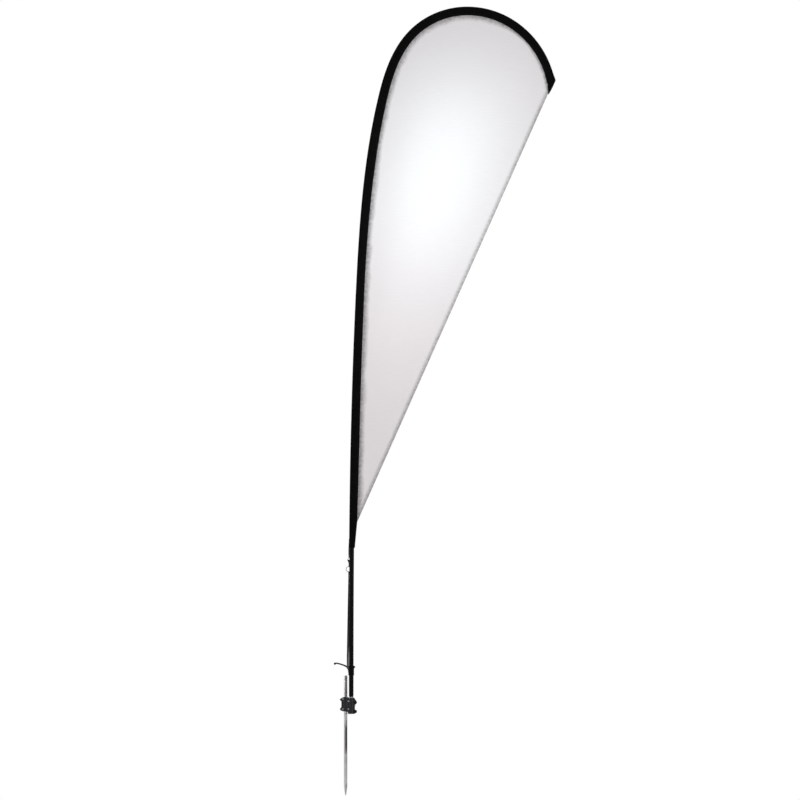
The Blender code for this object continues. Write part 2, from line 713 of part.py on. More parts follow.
def build_hook(body, moulded, blackened):
    profile = (
        (HOOK_RADIUS + 0.3 * MM, HOOK_BOTTOM_Z), (HOOK_RADIUS + 0.7 * MM, HOOK_BOTTOM_Z + 0.8 * MM),
        (HOOK_RADIUS + 0.7 * MM, HOOK_BOTTOM_Z + 4.4 * MM), (HOOK_RADIUS - 0.1 * MM, HOOK_BOTTOM_Z + 6.0 * MM),
        (HOOK_RADIUS, HOOK_TOP_Z - 12.0 * MM), (HOOK_RADIUS + 0.2 * MM, HOOK_TOP_Z - 2.0 * MM),
        (HOOK_RADIUS - 0.8 * MM, HOOK_TOP_Z),
    )
    hook = add_piece("tension_hook", turned(profile), moulded, body, (POLE_X, 0.0, 0.0))
    combine(hook, add_piece("tension_hook.horn", horn_tube(), moulded, body), "UNION")
    for label, (x, z, radius) in (("horn_ball", HORN_BALL), ("stub_ball", STUB_BALL)):
        knob = add_piece(f"tension_hook.{label}", ball(radius * MM), moulded, body, (x * MM, 0.0, z * MM))
        combine(hook, knob, "UNION")
    boss = turned(((4.6 * MM, 8.0 * MM), (4.6 * MM, 14.4 * MM), (4.0 * MM, 15.0 * MM)), 16)
    boss_piece = add_piece("tension_hook.boss", boss, moulded, body, (POLE_X, 0.0, SET_SCREW_Z))
    boss_piece.rotation_euler.x = -math.pi / 2
    combine(hook, boss_piece, "UNION")
    bore = turned(((HOOK_BORE, HOOK_BOTTOM_Z - 5.0 * MM), (HOOK_BORE, HOOK_TOP_Z + 5.0 * MM)), 28)
    combine(hook, add_piece("tension_hook.bore", bore, moulded, body, (POLE_X, 0.0, 0.0)), "DIFFERENCE")
    hole = turned(((2.5 * MM, 5.0 * MM), (2.5 * MM, 20.0 * MM)), 12)
    hole_piece = add_piece("tension_hook.hole", hole, moulded, body, (POLE_X, 0.0, SET_SCREW_Z))
    hole_piece.rotation_euler.x = -math.pi / 2
    combine(hook, hole_piece, "DIFFERENCE")
    screw = turned((
        (1.8 * MM, 9.7 * MM), (2.2 * MM, 10.1 * MM), (2.2 * MM, 14.2 * MM),
        (1.2 * MM, 14.2 * MM), (1.2 * MM, 12.6 * MM),
    ), 12)
    screw_piece = add_piece("hook_set_screw", screw, blackened, body, (POLE_X, 0.0, SET_SCREW_Z))
    screw_piece.rotation_euler.x = -math.pi / 2


def main():
    clear_scene()
    plated = make_material("plated_steel", (0.62, 0.60, 0.61), 0.22, 1.0)
    steel = make_material("bright_steel", (0.58, 0.58, 0.60), 0.30, 1.0)
    blackened = make_material("blackened_steel", (0.04, 0.04, 0.045), 0.40, 0.8)
    jaw_plastic = make_material("clamp_plastic", (0.030, 0.030, 0.036), 0.35)
    nylon = make_material("grey_nylon", (0.55, 0.55, 0.55), 0.45)
    pole_black = make_material("pole_black", (0.008, 0.008, 0.009), 0.38)
    moulded = make_material("moulded_black", (0.010, 0.010, 0.011), 0.45)
    sleeve_fabric = make_material("black_fabric", (0.006, 0.006, 0.006), 0.85)
    flag_fabric = make_material("white_fabric", (0.82, 0.82, 0.82), 0.80)
    elastic = make_material("grey_elastic", (0.10, 0.10, 0.10), 0.80)

    stake_body = add_body("stake_body", (0.0, 0.0, 0.0))
    clamp_body = add_body("clamp_body", (0.0, 0.0, STAKE_LOBE[1]))
    spindle_body = add_body("spindle_body", (POLE_X, 0.0, SPINDLE_FLANGE[2]))
    pole_body = add_body("pole_body", (POLE_X, 0.0, POLE_FOOT_Z))
    hook_body = add_body("hook_body", (POLE_X, 0.0, HOOK_BOTTOM_Z))

    build_stake(stake_body, plated)
    build_clamp(clamp_body, jaw_plastic, plated, blackened, nylon)
    build_spindle(spindle_body, steel)
    build_pole(pole_body, pole_black, moulded)
    build_sleeve(pole_body, sleeve_fabric)
    build_sleeve_point(pole_body, sleeve_fabric)
    build_flag(pole_body, flag_fabric)
    build_rings(pole_body, sleeve_fabric, plated)
    build_strap(hook_body, elastic)
    build_hook(hook_body, moulded, blackened)


main()
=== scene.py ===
"""Teardrop flag on a ground stake: the finished look of its packed parts.

A steel stake carries a bolted clamp with a turning spindle.  A bent black
pole stands on the spindle, a black cloth sleeve is drawn over the pole, and
the white flag is sewn to the sleeve.  An elastic strap pulls the sleeve down
to a hook on the pole's foot.

All sizes are metres, +Z is up, and the flag lies in the plane Y = 0.
"""

import json
import math

import bmesh
import bpy
from bpy.props import FloatProperty, FloatVectorProperty, IntProperty, PointerProperty
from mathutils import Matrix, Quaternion, Vector, kdtree, noise

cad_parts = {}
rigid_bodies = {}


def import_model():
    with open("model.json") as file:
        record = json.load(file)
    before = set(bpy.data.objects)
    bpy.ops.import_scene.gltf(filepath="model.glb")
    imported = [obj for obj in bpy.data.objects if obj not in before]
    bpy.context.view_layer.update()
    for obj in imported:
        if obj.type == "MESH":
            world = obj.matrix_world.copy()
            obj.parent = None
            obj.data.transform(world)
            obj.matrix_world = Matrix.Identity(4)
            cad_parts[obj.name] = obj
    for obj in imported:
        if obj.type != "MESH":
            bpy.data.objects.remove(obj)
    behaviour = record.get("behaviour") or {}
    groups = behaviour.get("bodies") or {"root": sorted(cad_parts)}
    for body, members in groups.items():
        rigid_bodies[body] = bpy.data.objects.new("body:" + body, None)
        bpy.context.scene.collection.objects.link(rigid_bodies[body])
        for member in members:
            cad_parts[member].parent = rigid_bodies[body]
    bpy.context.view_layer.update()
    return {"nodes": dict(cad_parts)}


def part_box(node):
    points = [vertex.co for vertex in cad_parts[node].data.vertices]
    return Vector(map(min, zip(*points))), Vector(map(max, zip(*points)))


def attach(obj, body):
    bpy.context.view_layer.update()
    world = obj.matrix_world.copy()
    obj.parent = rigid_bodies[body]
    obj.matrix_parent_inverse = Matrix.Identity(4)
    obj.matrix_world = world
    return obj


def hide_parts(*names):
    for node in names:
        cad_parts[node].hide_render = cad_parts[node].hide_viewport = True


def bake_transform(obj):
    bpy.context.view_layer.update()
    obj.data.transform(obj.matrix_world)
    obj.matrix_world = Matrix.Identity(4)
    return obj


bl_info = {
    "name": "Teardrop Flag",
    "version": (1, 0, 0),
    "blender": (4, 5, 0),
    "location": "3D View > Sidebar > Teardrop Flag",
    "description": "Builds the cloth, pole, clamp and stake of a teardrop flag",
    "category": "Add Mesh",
}

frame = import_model()
MM = 0.001

STAKE_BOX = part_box("ground_stake")
SPINDLE_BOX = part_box("spindle")

# Distances along the pole are measured on its axis from its foot
POLE_X = 0.0225
POLE_FOOT_Z = 0.081
POLE_BEND = ((0.0, 0.007), (1.65, 0.050), (2.40, 0.439), (2.70, 3.257), (3.50, 2.520))
PATH_STEP = 0.002
LOWER_TUBE = (0.0032, 0.900, 0.00925, 0.0079)        # start, end, outer radius, bore radius
SLEEVE_START = 0.596
SLEEVE_END = 3.415
SLEEVE_POCKET = ((0.55, 0.00995), (0.95, 0.00995), (1.85, 0.0078), (2.65, 0.0062), (3.50, 0.0046))
SLEEVE_SEAM = (
    (0.60, 0.0126), (0.70, 0.021), (1.00, 0.025), (1.70, 0.025), (2.15, 0.0295), (3.50, 0.0275),
)
POINT_OUTER = (3.437, -0.009)                        # the slanted cut of the sleeve's sewn point
POINT_INNER = 3.492
FLAG_FOOT = 0.700
FLAG_HEAD = 3.484
RING_PLANE_Y = 0.0129
TRIANGLE_RING = ((0.0145, 0.642), (0.0066, 0.6266), (0.0224, 0.6266))
STRAP_RING = (0.0130, 0.591, 0.0108, 0.0013)         # X, Z, radius, wire radius
STRAP_TOP = Vector((0.0147, 0.0129, 0.578))
STRAP_BOTTOM = Vector((0.0086, 0.0056, 0.2095))
HORN_LINE = (                                        # X, Z, radius
    (0.0124, 0.1760, 0.0020), (0.0120, 0.1880, 0.0031), (0.0082, 0.1978, 0.0034),
    (-0.0020, 0.2046, 0.0032), (-0.0190, 0.2110, 0.0030), (-0.0370, 0.2152, 0.0028),
    (-0.0426, 0.2134, 0.0028),
)
HORN_BALL = (0.0046, -0.0426, 0.2134)                # radius, X, Z
STUB_BALL = (0.0049, 0.0336, 0.2000)
JAW_OUTLINE = (                                      # the clamp's flange from the front, X and Z
    (-6.0, 80.2), (-19.5, 74.8), (-23.4, 70.4), (-21.6, 66.0), (-17.0, 63.6),
    (-17.0, 39.6), (-20.8, 36.2), (-23.4, 31.2), (-20.6, 26.4), (-8.0, 22.0),
    (7.4, 22.0), (9.2, 14.6), (13.0, 12.0), (31.6, 12.0), (41.4, 15.2),
    (45.8, 19.6), (45.4, 26.0), (37.6, 29.6), (37.0, 41.4), (39.4, 44.2),
    (37.0, 47.4), (43.4, 53.4), (46.4, 58.0), (44.2, 62.6), (32.6, 79.4),
    (31.0, 75.0), (13.6, 75.0), (11.4, 79.6),
)
BRIGHT_BOLTS = (
    ("left_upper", -0.0108, 0.0726), ("left_lower", -0.0108, 0.0316),
    ("middle_upper", 0.0112, 0.0630), ("middle_lower", 0.0112, 0.0316),
)
DARK_BOLTS = (("right_upper", 0.0384, 0.0574), ("right_lower", 0.0384, 0.0222))
JAW_SPLIT = 0.0004                                   # half the gap between the jaws
JAW_FACE = 0.0085                                    # flange face to the split
JAW_RIBS = (0.0420, 0.0530)                          # undersides of the two ribs
STAKE_LOBE = (0.0128, 0.0225, 0.0796)                # radius, bottom, top
SPINDLE_LOBE = (0.0134, 0.0120, 0.0750)
STAKE_BORE = 0.00705
BUSH_SEAT = (0.0076, 0.0152)                         # radius, bottom
BOLT_HOLE_RADIUS = 0.00275
SPOT_FACE_RADIUS = 0.0053
BOLT_HEAD_HEIGHT = 0.0046
BOLT_HEAD_RADIUS = 0.0043
NUT_HEIGHT = 0.0040
NEIGHBOUR_GAP = 0.0003                               # air between touching hardware


# Settings that a user would change

def length_setting(name, description, default, low=0.0, high=1.0):
    return FloatProperty(
        name=name, description=description, default=default, min=low, max=high,
        subtype="DISTANCE", unit="LENGTH", precision=5,
    )


def colour_setting(name, description, default):
    return FloatVectorProperty(
        name=name, description=description, default=default, size=3, min=0.0, max=1.0,
        subtype="COLOR",
    )


class FlagSettings(bpy.types.PropertyGroup):
    """Sizes and colours of the white flag."""
    belly: length_setting("Belly", "How far the flag's middle stands forward", 0.0132, 0.0, 0.014)
    hem_width: length_setting("Hem width", "Width of the folded hem on the free edge", 0.016)
    gather: length_setting("Gathers", "Height of the small gathers at the sleeve's seam", 0.0009)
    gather_spacing: length_setting("Gather spacing", "Distance from one gather to the next", 0.027)
    stitch_pitch: length_setting("Stitch pitch", "Distance from one stitch to the next", 0.0042)
    thread_radius: length_setting("Thread radius", "Half the thickness of the thread", 0.00026)
    weave_pitch: length_setting("Weave pitch", "Width of one thread in the cloth", 0.0008)
    colour: colour_setting("Cloth", "Colour of the flag cloth", (0.800, 0.764, 0.778))
    # Colour of the painted shade beside the sleeve's seam and along the hem; near the seam it also stands for
    # dark cloth showing through.
    seam_and_hem_shade: colour_setting("Lined cloth", "Colour where dark cloth shows through", (0.24, 0.225, 0.23))
    thread: colour_setting("Thread", "Colour of the hem's thread", (0.70, 0.69, 0.69))


class SleeveSettings(bpy.types.PropertyGroup):
    """Sizes and colours of the black sleeve and its webbing."""
    wall: length_setting("Wall", "Thickness of the sleeve cloth", 0.001)
    ripple: length_setting("Ripples", "Height of the soft ripples across the sleeve", 0.00035)
    cuff: length_setting("Cuff", "Depth of the turned cuff at the sleeve's mouth", 0.024)
    stitch_pitch: length_setting("Stitch pitch", "Distance from one stitch to the next", 0.0046)
    thread_radius: length_setting("Thread radius", "Half the thickness of the thread", 0.0003)
    weave_pitch: length_setting("Weave pitch", "Width of one thread in the cloth", 0.0009)
    colour: colour_setting("Cloth", "Colour of the sleeve cloth", (0.0020, 0.0019, 0.0020))
    thread: colour_setting("Thread", "Colour of the sleeve's thread", (0.012, 0.0115, 0.012))
    webbing: colour_setting("Webbing", "Colour of the tab and link", (0.0030, 0.0030, 0.0032))


class PoleSettings(bpy.types.PropertyGroup):
    """Finish of the pole and its fittings."""
    sides: IntProperty(name="Sides", description="Facets round the pole", default=64, min=16, max=128)
    colour: colour_setting("Pole", "Colour of the coated pole", (0.0018, 0.0018, 0.0020))
    fibre: colour_setting("Tip rod", "Colour of the glass fibre rod", (0.020, 0.022, 0.020))
    moulded: colour_setting("Moulded parts", "Colour of the hook and bushes", (0.0020, 0.0020, 0.0022))


class ClampSettings(bpy.types.PropertyGroup):
    """Sizes and colours of the clamp, its bolts and the stake."""
    fineness: length_setting("Fineness", "Grid of the moulded surface", 0.0005, 0.0003, 0.002)
    corner: length_setting("Corners", "Roundness of the flange's outline", 0.0022)
    plastic: colour_setting("Plastic", "Colour of the jaws", (0.0075, 0.0075, 0.0125))
    plating: colour_setting("Plating", "Colour of the stake's plating", (0.80, 0.775, 0.785))
    # Colour of the rubbed streaks on all the steel, and of the painted shade and dark reflections on the
    # stake's right side.
    tarnish_and_shade: colour_setting("Tarnish", "Colour of the stained plating", (0.150, 0.118, 0.128))
    wire: colour_setting("Ring wire", "Colour of the two wire rings", (0.46, 0.45, 0.46))
    bolts: colour_setting("Bolts", "Colour of the bright bolts", (0.33, 0.325, 0.34))
    nylon: colour_setting("Nylon", "Colour of the bearing bushes", (0.17, 0.17, 0.18))
    blackened: colour_setting("Blackened steel", "Colour of the dark bolts", (0.022, 0.022, 0.025))


class StrapSettings(bpy.types.PropertyGroup):
    """Sizes and colour of the elastic strap."""
    width: length_setting("Width", "Width of the strap", 0.0081)
    thickness: length_setting("Thickness", "Thickness of the strap", 0.0013)
    loop: length_setting("Loop", "Length of the sewn loop at each end", 0.026)
    # Painted shade: the strap is painted in `colour` higher up, where the pole shades it, and in the paler
    # `drawn` colour towards the bottom.
    colour: colour_setting("Strap", "Colour of the slack elastic", (0.010, 0.010, 0.0104))
    drawn: colour_setting("Drawn strap", "Colour where it is stretched most", (0.085, 0.085, 0.086))


class StageSettings(bpy.types.PropertyGroup):
    """Floor, light and view."""
    floor: colour_setting("Floor", "Colour of the floor", (0.86, 0.86, 0.86))
    view_height: length_setting("View height", "Height of the picture", 3.2, 0.1, 20.0)
    sky: FloatProperty(name="Room light", description="Strength of the even light", default=0.55, min=0.0)
    glow: FloatProperty(
        name="Glow", description="Power of the soft light on the flag's middle", default=1.1,
        min=0.0, subtype="POWER", unit="POWER",
    )


SETTINGS = (
    ("flag_cloth", FlagSettings), ("flag_sleeve", SleeveSettings), ("flag_pole", PoleSettings),
    ("flag_clamp", ClampSettings), ("flag_strap", StrapSettings), ("flag_stage", StageSettings),
)


# The pole's line

def between(table, distance):
    """Read a table of (distance, value) with straight lines between its rows."""
    if distance <= table[0][0]:
        return table[0][1]
    for (s0, v0), (s1, v1) in zip(table, table[1:]):
        if distance <= s1:
            return v0 + (v1 - v0) * (distance - s0) / (s1 - s0)
    return table[-1][1]


def trace_pole():
    """Follow the bend from the foot: X, Z and lean from upright at each step."""
    x, z, lean = POLE_X, POLE_FOOT_Z, 0.0
    line = [(x, z, lean)]
    for i in range(round(POLE_BEND[-1][0] / PATH_STEP)):
        half = lean + between(POLE_BEND, (i + 0.25) * PATH_STEP) * PATH_STEP / 2
        x += math.sin(half) * PATH_STEP
        z += math.cos(half) * PATH_STEP
        lean += between(POLE_BEND, (i + 0.5) * PATH_STEP) * PATH_STEP
        line.append((x, z, lean))
    return line


POLE_LINE = trace_pole()


def beside_pole(distance, inward, y=0.0):
    """A point beside the pole's axis, `inward` towards the flag."""
    place = min(max(distance / PATH_STEP, 0.0), len(POLE_LINE) - 1.001)
    index = int(place)
    part = place - index
    x, z, lean = (a + (b - a) * part for a, b in zip(POLE_LINE[index], POLE_LINE[index + 1]))
    return Vector((x + math.cos(lean) * inward, y, z - math.sin(lean) * inward))


def steps_of(start, end, step):
    """Even steps from start to end, each about `step` long."""
    count = max(2, round((end - start) / step))
    return [start + (end - start) * i / count for i in range(count + 1)]


# Mesh making

def skin(bm, rings, closed=False, wrap=True):
    """Quads between neighbouring rings of equal length."""
    pairs = list(zip(rings, rings[1:]))
    if closed:
        pairs.append((rings[-1], rings[0]))
    for low, high in pairs:
        for i in range(len(low) if wrap else len(low) - 1):
            j = (i + 1) % len(low)
            bm.faces.new((low[i], low[j], high[j], high[i]))


def eased(points, reach, closed=False, steps=3):
    """Replace each corner of a line with a short curve."""
    out = []
    count = len(points)
    for i, corner in enumerate(points):
        if not closed and i in (0, count - 1):
            out.append(tuple(corner))
            continue
        here = Vector(corner)
        before = Vector(points[i - 1]) - here
        after = Vector(points[(i + 1) % count]) - here
        first = here + before.normalized() * min(reach, before.length * 0.45)
        last = here + after.normalized() * min(reach, after.length * 0.45)
        for k in range(steps + 1):
            t = k / steps
            out.append(tuple(first * (1 - t) ** 2 + here * 2 * t * (1 - t) + last * t * t))
    return out


def turned(profile, sides=72, closed=False, along="Z"):
    """Turn (radius, height) rows about an axis.  A radius may be a function of the angle."""
    bm = bmesh.new()
    rings = []
    for radius, height in profile:
        ring = []
        for i in range(sides):
            angle = math.tau * i / sides
            r = radius(angle) if callable(radius) else radius
            a, b = r * math.cos(angle), r * math.sin(angle)
            ring.append(bm.verts.new((a, b, height) if along == "Z" else (a, height, b)))
        rings.append(ring)
    skin(bm, rings, closed)
    if not closed:
        bm.faces.new(rings[0])
        bm.faces.new(rings[-1])
    bmesh.ops.recalc_face_normals(bm, faces=bm.faces)
    return bm


def lofted(rings, bores=None, cap=True):
    """A solid through rings of points, with a bore open at both ends if one is given."""
    bm = bmesh.new()
    outer = [[bm.verts.new(p) for p in ring] for ring in rings]
    skin(bm, outer)
    if bores is not None:
        bore = [[bm.verts.new(p) for p in ring] for ring in bores]
        skin(bm, bore)
        skin(bm, [outer[0], bore[0]])
        skin(bm, [outer[-1], bore[-1]])
    elif cap:
        bm.faces.new(outer[0])
        bm.faces.new(outer[-1])
    bmesh.ops.recalc_face_normals(bm, faces=bm.faces)
    return bm


def prism(outline, low, high, along="Y"):
    """Extrude an outline of (X, Z) along Y, or of (X, Y) along Z."""
    if along == "Y":
        return lofted([[(x, level, z) for x, z in outline] for level in (low, high)])
    return lofted([[(x, y, level) for x, y in outline] for level in (low, high)])


def box_of(low, high):
    """A plain block between two corners, used as a Boolean tool."""
    outline = ((low[0], low[2]), (high[0], low[2]), (high[0], high[2]), (low[0], high[2]))
    return prism(outline, low[1], high[1])


def wire_round(points, radius, closed=True, sides=20):
    """Round wire through points; a closed loop lies in a plane of constant Y."""
    rings = []
    count = len(points)
    for i, point in enumerate(points):
        ahead = points[(i + 1) % count] if closed or i < count - 1 else point
        behind = points[i - 1] if closed or i > 0 else point
        forward = (ahead - behind).normalized()
        side = Vector((forward.z, 0.0, -forward.x))
        r = radius[i] if isinstance(radius, list) else radius
        rings.append([
            point + side * r * math.cos(math.tau * k / sides)
            + Vector((0.0, r * math.sin(math.tau * k / sides), 0.0))
            for k in range(sides)
        ])
    bm = bmesh.new()
    rings = [[bm.verts.new(p) for p in ring] for ring in rings]
    skin(bm, rings, closed=closed)
    if not closed:
        bm.faces.new(rings[0])
        bm.faces.new(rings[-1])
    bmesh.ops.recalc_face_normals(bm, faces=bm.faces)
    return bm


def smooth_line(points, per_span):
    """A smooth line that passes through all the points; each point is a vector."""
    out = []
    for i in range(len(points) - 1):
        before = points[max(i - 1, 0)]
        start, end = points[i], points[i + 1]
        after = points[min(i + 2, len(points) - 1)]
        leave, arrive = (end - before) / 2, (after - start) / 2
        for k in range(per_span):
            t = k / per_span
            out.append(
                start * (2 * t**3 - 3 * t**2 + 1) + leave * (t**3 - 2 * t**2 + t)
                + end * (3 * t**2 - 2 * t**3) + arrive * (t**3 - t**2)
            )
    out.append(points[-1].copy())
    return out


def place(name, bm, material, angle=38.0):
    """Make a smooth-shaded object at the origin from a bmesh in its final place."""
    mesh = bpy.data.meshes.new(name)
    bm.to_mesh(mesh)
    bm.free()
    mesh.shade_smooth()
    mesh.set_sharp_from_angle(angle=math.radians(angle))
    mesh.materials.append(material)
    piece = bpy.data.objects.new(name, mesh)
    bpy.context.scene.collection.objects.link(piece)
    return piece


def make_plain(piece):
    """Turn the evaluated object into a plain mesh and take its modifiers off."""
    graph = bpy.context.evaluated_depsgraph_get()
    mesh = bpy.data.meshes.new_from_object(
        piece.evaluated_get(graph), preserve_all_data_layers=True, depsgraph=graph
    )
    old = piece.data
    piece.modifiers.clear()
    piece.data = mesh
    bpy.data.meshes.remove(old)
    mesh.name = piece.name
    return piece


def settle(piece, body, slot, *nodes):
    """Give the piece its body and let it stand for CAD nodes, which are hidden; `slot` is not used."""
    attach(piece, body)
    if nodes:
        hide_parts(*nodes)
    return piece


def apply_tools(piece, tools):
    """Join or cut with a list of (operation, bmesh), then make the mesh plain."""
    helpers = []
    for index, (operation, bm) in enumerate(tools):
        mesh = bpy.data.meshes.new("tool")
        bm.to_mesh(mesh)
        bm.free()
        helper = bpy.data.objects.new(f"tool_{index}", mesh)
        bpy.context.scene.collection.objects.link(helper)
        modifier = piece.modifiers.new(f"tool_{index}", "BOOLEAN")
        modifier.object = helper
        modifier.operation = operation
        modifier.solver = "EXACT"
        helpers.append(helper)
    make_plain(piece)
    for helper in helpers:
        mesh = helper.data
        bpy.data.objects.remove(helper)
        bpy.data.meshes.remove(mesh)
    return piece


def mould(piece, grid, rounds):
    """Give a piece the soft edges of a moulding: remesh on a fine grid, then smooth."""
    remesh = piece.modifiers.new("grid", "REMESH")
    remesh.mode = "VOXEL"
    remesh.voxel_size = grid
    smooth = piece.modifiers.new("soften", "SMOOTH")
    smooth.factor = 0.5
    smooth.iterations = rounds
    material = piece.data.materials[0]
    make_plain(piece)
    piece.data.shade_smooth()
    piece.data.materials.clear()
    piece.data.materials.append(material)
    return piece


def close_pad(bm, cloth, grids, spread):
    """Join two facing grids of points into one closed pad and give it its map."""
    for side in (-1, 1):
        skin(bm, grids[side], wrap=False)
    for pair in (0, -1):
        skin(bm, [grids[-1][pair], grids[1][pair]], wrap=False)
        skin(bm, [[row[pair] for row in grids[-1]], [row[pair] for row in grids[1]]], wrap=False)
    for face in bm.faces:
        for loop in face.loops:
            loop[cloth].uv = spread[loop.vert]
    bmesh.ops.recalc_face_normals(bm, faces=bm.faces)
    return bm


# Geometry Nodes

def geometry_tree(name, inputs):
    """A node tree with named inputs; returns the tree, its input node and its output node."""
    tree = bpy.data.node_groups.new(name, "GeometryNodeTree")
    tree.interface.new_socket("Geometry", in_out="INPUT", socket_type="NodeSocketGeometry")
    for label, kind, default in inputs:
        socket = tree.interface.new_socket(label, in_out="INPUT", socket_type=f"NodeSocket{kind}")
        if default is not None:
            socket.default_value = default
    tree.interface.new_socket("Geometry", in_out="OUTPUT", socket_type="NodeSocketGeometry")
    return tree, tree.nodes.new("NodeGroupInput"), tree.nodes.new("NodeGroupOutput")


def join_up(tree, *pairs):
    for source, target in pairs:
        tree.links.new(source, target)


def finish_tree(tree, source, given, out):
    """End a tree in Realize Instances and Set Material."""
    realize = tree.nodes.new("GeometryNodeRealizeInstances")
    paint = tree.nodes.new("GeometryNodeSetMaterial")
    join_up(
        tree, (source, realize.inputs[0]), (realize.outputs[0], paint.inputs["Geometry"]),
        (given.outputs["Material"], paint.inputs["Material"]),
        (paint.outputs[0], out.inputs[0]),
    )


def stitch_tree():
    """Rounded stitches, laid end to end along every line of the mesh."""
    tree, given, out = geometry_tree("Stitches along a line", (
        ("Pitch", "Float", 0.004), ("Stitch Length", "Float", 0.003),
        ("Thread Radius", "Float", 0.0003), ("Material", "Material", None),
    ))
    nodes = tree.nodes
    line = nodes.new("GeometryNodeMeshToCurve")
    points = nodes.new("GeometryNodeCurveToPoints")
    points.mode = "LENGTH"
    stitch = nodes.new("GeometryNodeMeshUVSphere")
    stitch.inputs["Segments"].default_value = 6
    stitch.inputs["Rings"].default_value = 4
    stitch.inputs["Radius"].default_value = 1.0
    half = nodes.new("ShaderNodeMath")
    half.operation = "MULTIPLY"
    half.inputs[1].default_value = 0.5
    size = nodes.new("ShaderNodeCombineXYZ")
    shape = nodes.new("GeometryNodeTransform")
    smooth = nodes.new("GeometryNodeSetShadeSmooth")
    lay = nodes.new("GeometryNodeInstanceOnPoints")
    join_up(
        tree, (given.outputs["Geometry"], line.inputs[0]), (line.outputs[0], points.inputs[0]),
        (given.outputs["Pitch"], points.inputs["Length"]),
        (given.outputs["Stitch Length"], half.inputs[0]),
        (given.outputs["Thread Radius"], size.inputs[0]),
        (given.outputs["Thread Radius"], size.inputs[1]), (half.outputs[0], size.inputs[2]),
        (stitch.outputs["Mesh"], shape.inputs["Geometry"]), (size.outputs[0], shape.inputs["Scale"]),
        (shape.outputs[0], smooth.inputs["Geometry"]), (smooth.outputs[0], lay.inputs["Instance"]),
        (points.outputs["Points"], lay.inputs["Points"]),
        (points.outputs["Rotation"], lay.inputs["Rotation"]),
    )
    finish_tree(tree, lay.outputs[0], given, out)
    return tree


def fastener_tree():
    """A copy of one fastener at every point of the mesh."""
    tree, given, out = geometry_tree("Fasteners at points", (
        ("Fastener", "Object", None), ("Material", "Material", None),
    ))
    info = tree.nodes.new("GeometryNodeObjectInfo")
    lay = tree.nodes.new("GeometryNodeInstanceOnPoints")
    join_up(
        tree, (given.outputs["Fastener"], info.inputs["Object"]),
        (given.outputs["Geometry"], lay.inputs["Points"]),
        (info.outputs["Geometry"], lay.inputs["Instance"]),
    )
    finish_tree(tree, lay.outputs[0], given, out)
    return tree


def tube_tree():
    """A round tube drawn along the line of the mesh."""
    tree, given, out = geometry_tree("Tube along a line", (
        ("Radius", "Float", 0.01), ("Sides", "Int", 48), ("Material", "Material", None),
    ))
    line = tree.nodes.new("GeometryNodeMeshToCurve")
    circle = tree.nodes.new("GeometryNodeCurvePrimitiveCircle")
    sweep = tree.nodes.new("GeometryNodeCurveToMesh")
    smooth = tree.nodes.new("GeometryNodeSetShadeSmooth")
    join_up(
        tree, (given.outputs["Geometry"], line.inputs[0]), (line.outputs[0], sweep.inputs["Curve"]),
        (given.outputs["Radius"], circle.inputs["Radius"]),
        (given.outputs["Sides"], circle.inputs["Resolution"]),
        (circle.outputs["Curve"], sweep.inputs["Profile Curve"]),
        (sweep.outputs[0], smooth.inputs["Geometry"]),
    )
    finish_tree(tree, smooth.outputs[0], given, out)
    return tree


def grow(name, lines, tree, values):
    """Run a tree on a mesh of lines or points and return the plain result."""
    mesh = bpy.data.meshes.new(name)
    points = [p for line in lines for p in line]
    edges = []
    start = 0
    for line in lines:
        edges += [(start + i, start + i + 1) for i in range(len(line) - 1)]
        start += len(line)
    mesh.from_pydata([tuple(p) for p in points], edges, [])
    piece = bpy.data.objects.new(name, mesh)
    bpy.context.scene.collection.objects.link(piece)
    modifier = piece.modifiers.new(name, "NODES")
    modifier.node_group = tree
    sockets = {s.name: s.identifier for s in tree.interface.items_tree if s.in_out == "INPUT"}
    for label, value in values.items():
        modifier[sockets[label]] = value
    make_plain(piece)
    return piece


def stitches(name, lines, pitch, radius, material):
    """Rows of stitches as one plain piece."""
    tree = bpy.data.node_groups.get("Stitches along a line") or stitch_tree()
    return grow(name, lines, tree, {
        "Pitch": pitch, "Stitch Length": pitch * 0.82, "Thread Radius": radius, "Material": material,
    })


# Shader node groups

class Board:
    """Adds shader nodes to a tree; a socket given as an input is linked."""

    def __init__(self, tree):
        self.tree = tree

    def add(self, kind, inputs=None, **settings):
        node = self.tree.nodes.new(f"ShaderNode{kind}")
        node.location.x = 190.0 * len(self.tree.nodes)
        for key, value in settings.items():
            setattr(node, key, value)
        for key, value in (inputs or {}).items():
            if isinstance(value, bpy.types.NodeSocket):
                self.tree.links.new(value, node.inputs[key])
            else:
                node.inputs[key].default_value = value
        return node

    def math(self, operation, a, b=0.0, clamp=False):
        return self.add("Math", {0: a, 1: b}, operation=operation, use_clamp=clamp).outputs[0]

    def ramp(self, source, low, high, to_low=0.0, to_high=1.0):
        node = self.add("MapRange", {
            "Value": source, "From Min": low, "From Max": high, "To Min": to_low, "To Max": to_high,
        }, interpolation_type="SMOOTHSTEP")
        return node.outputs[0]

    def noise(self, vector, scale, detail=3.0, rough=0.55):
        node = self.add("TexNoise", {
            "Vector": vector, "Scale": scale, "Detail": detail, "Roughness": rough,
        })
        return node.outputs["Fac"]

    def stretch(self, vector, scale):
        return self.add("Mapping", {"Vector": vector, "Scale": scale}).outputs[0]

    def mix(self, factor, first, second):
        node = self.add("Mix", {}, data_type="RGBA")
        for key, value in ((0, factor), (6, first), (7, second)):
            if isinstance(value, bpy.types.NodeSocket):
                self.tree.links.new(value, node.inputs[key])
            elif key == 0:
                node.inputs[key].default_value = value
            else:
                node.inputs[key].default_value = (*value[:3], 1.0)
        return node.outputs[2]


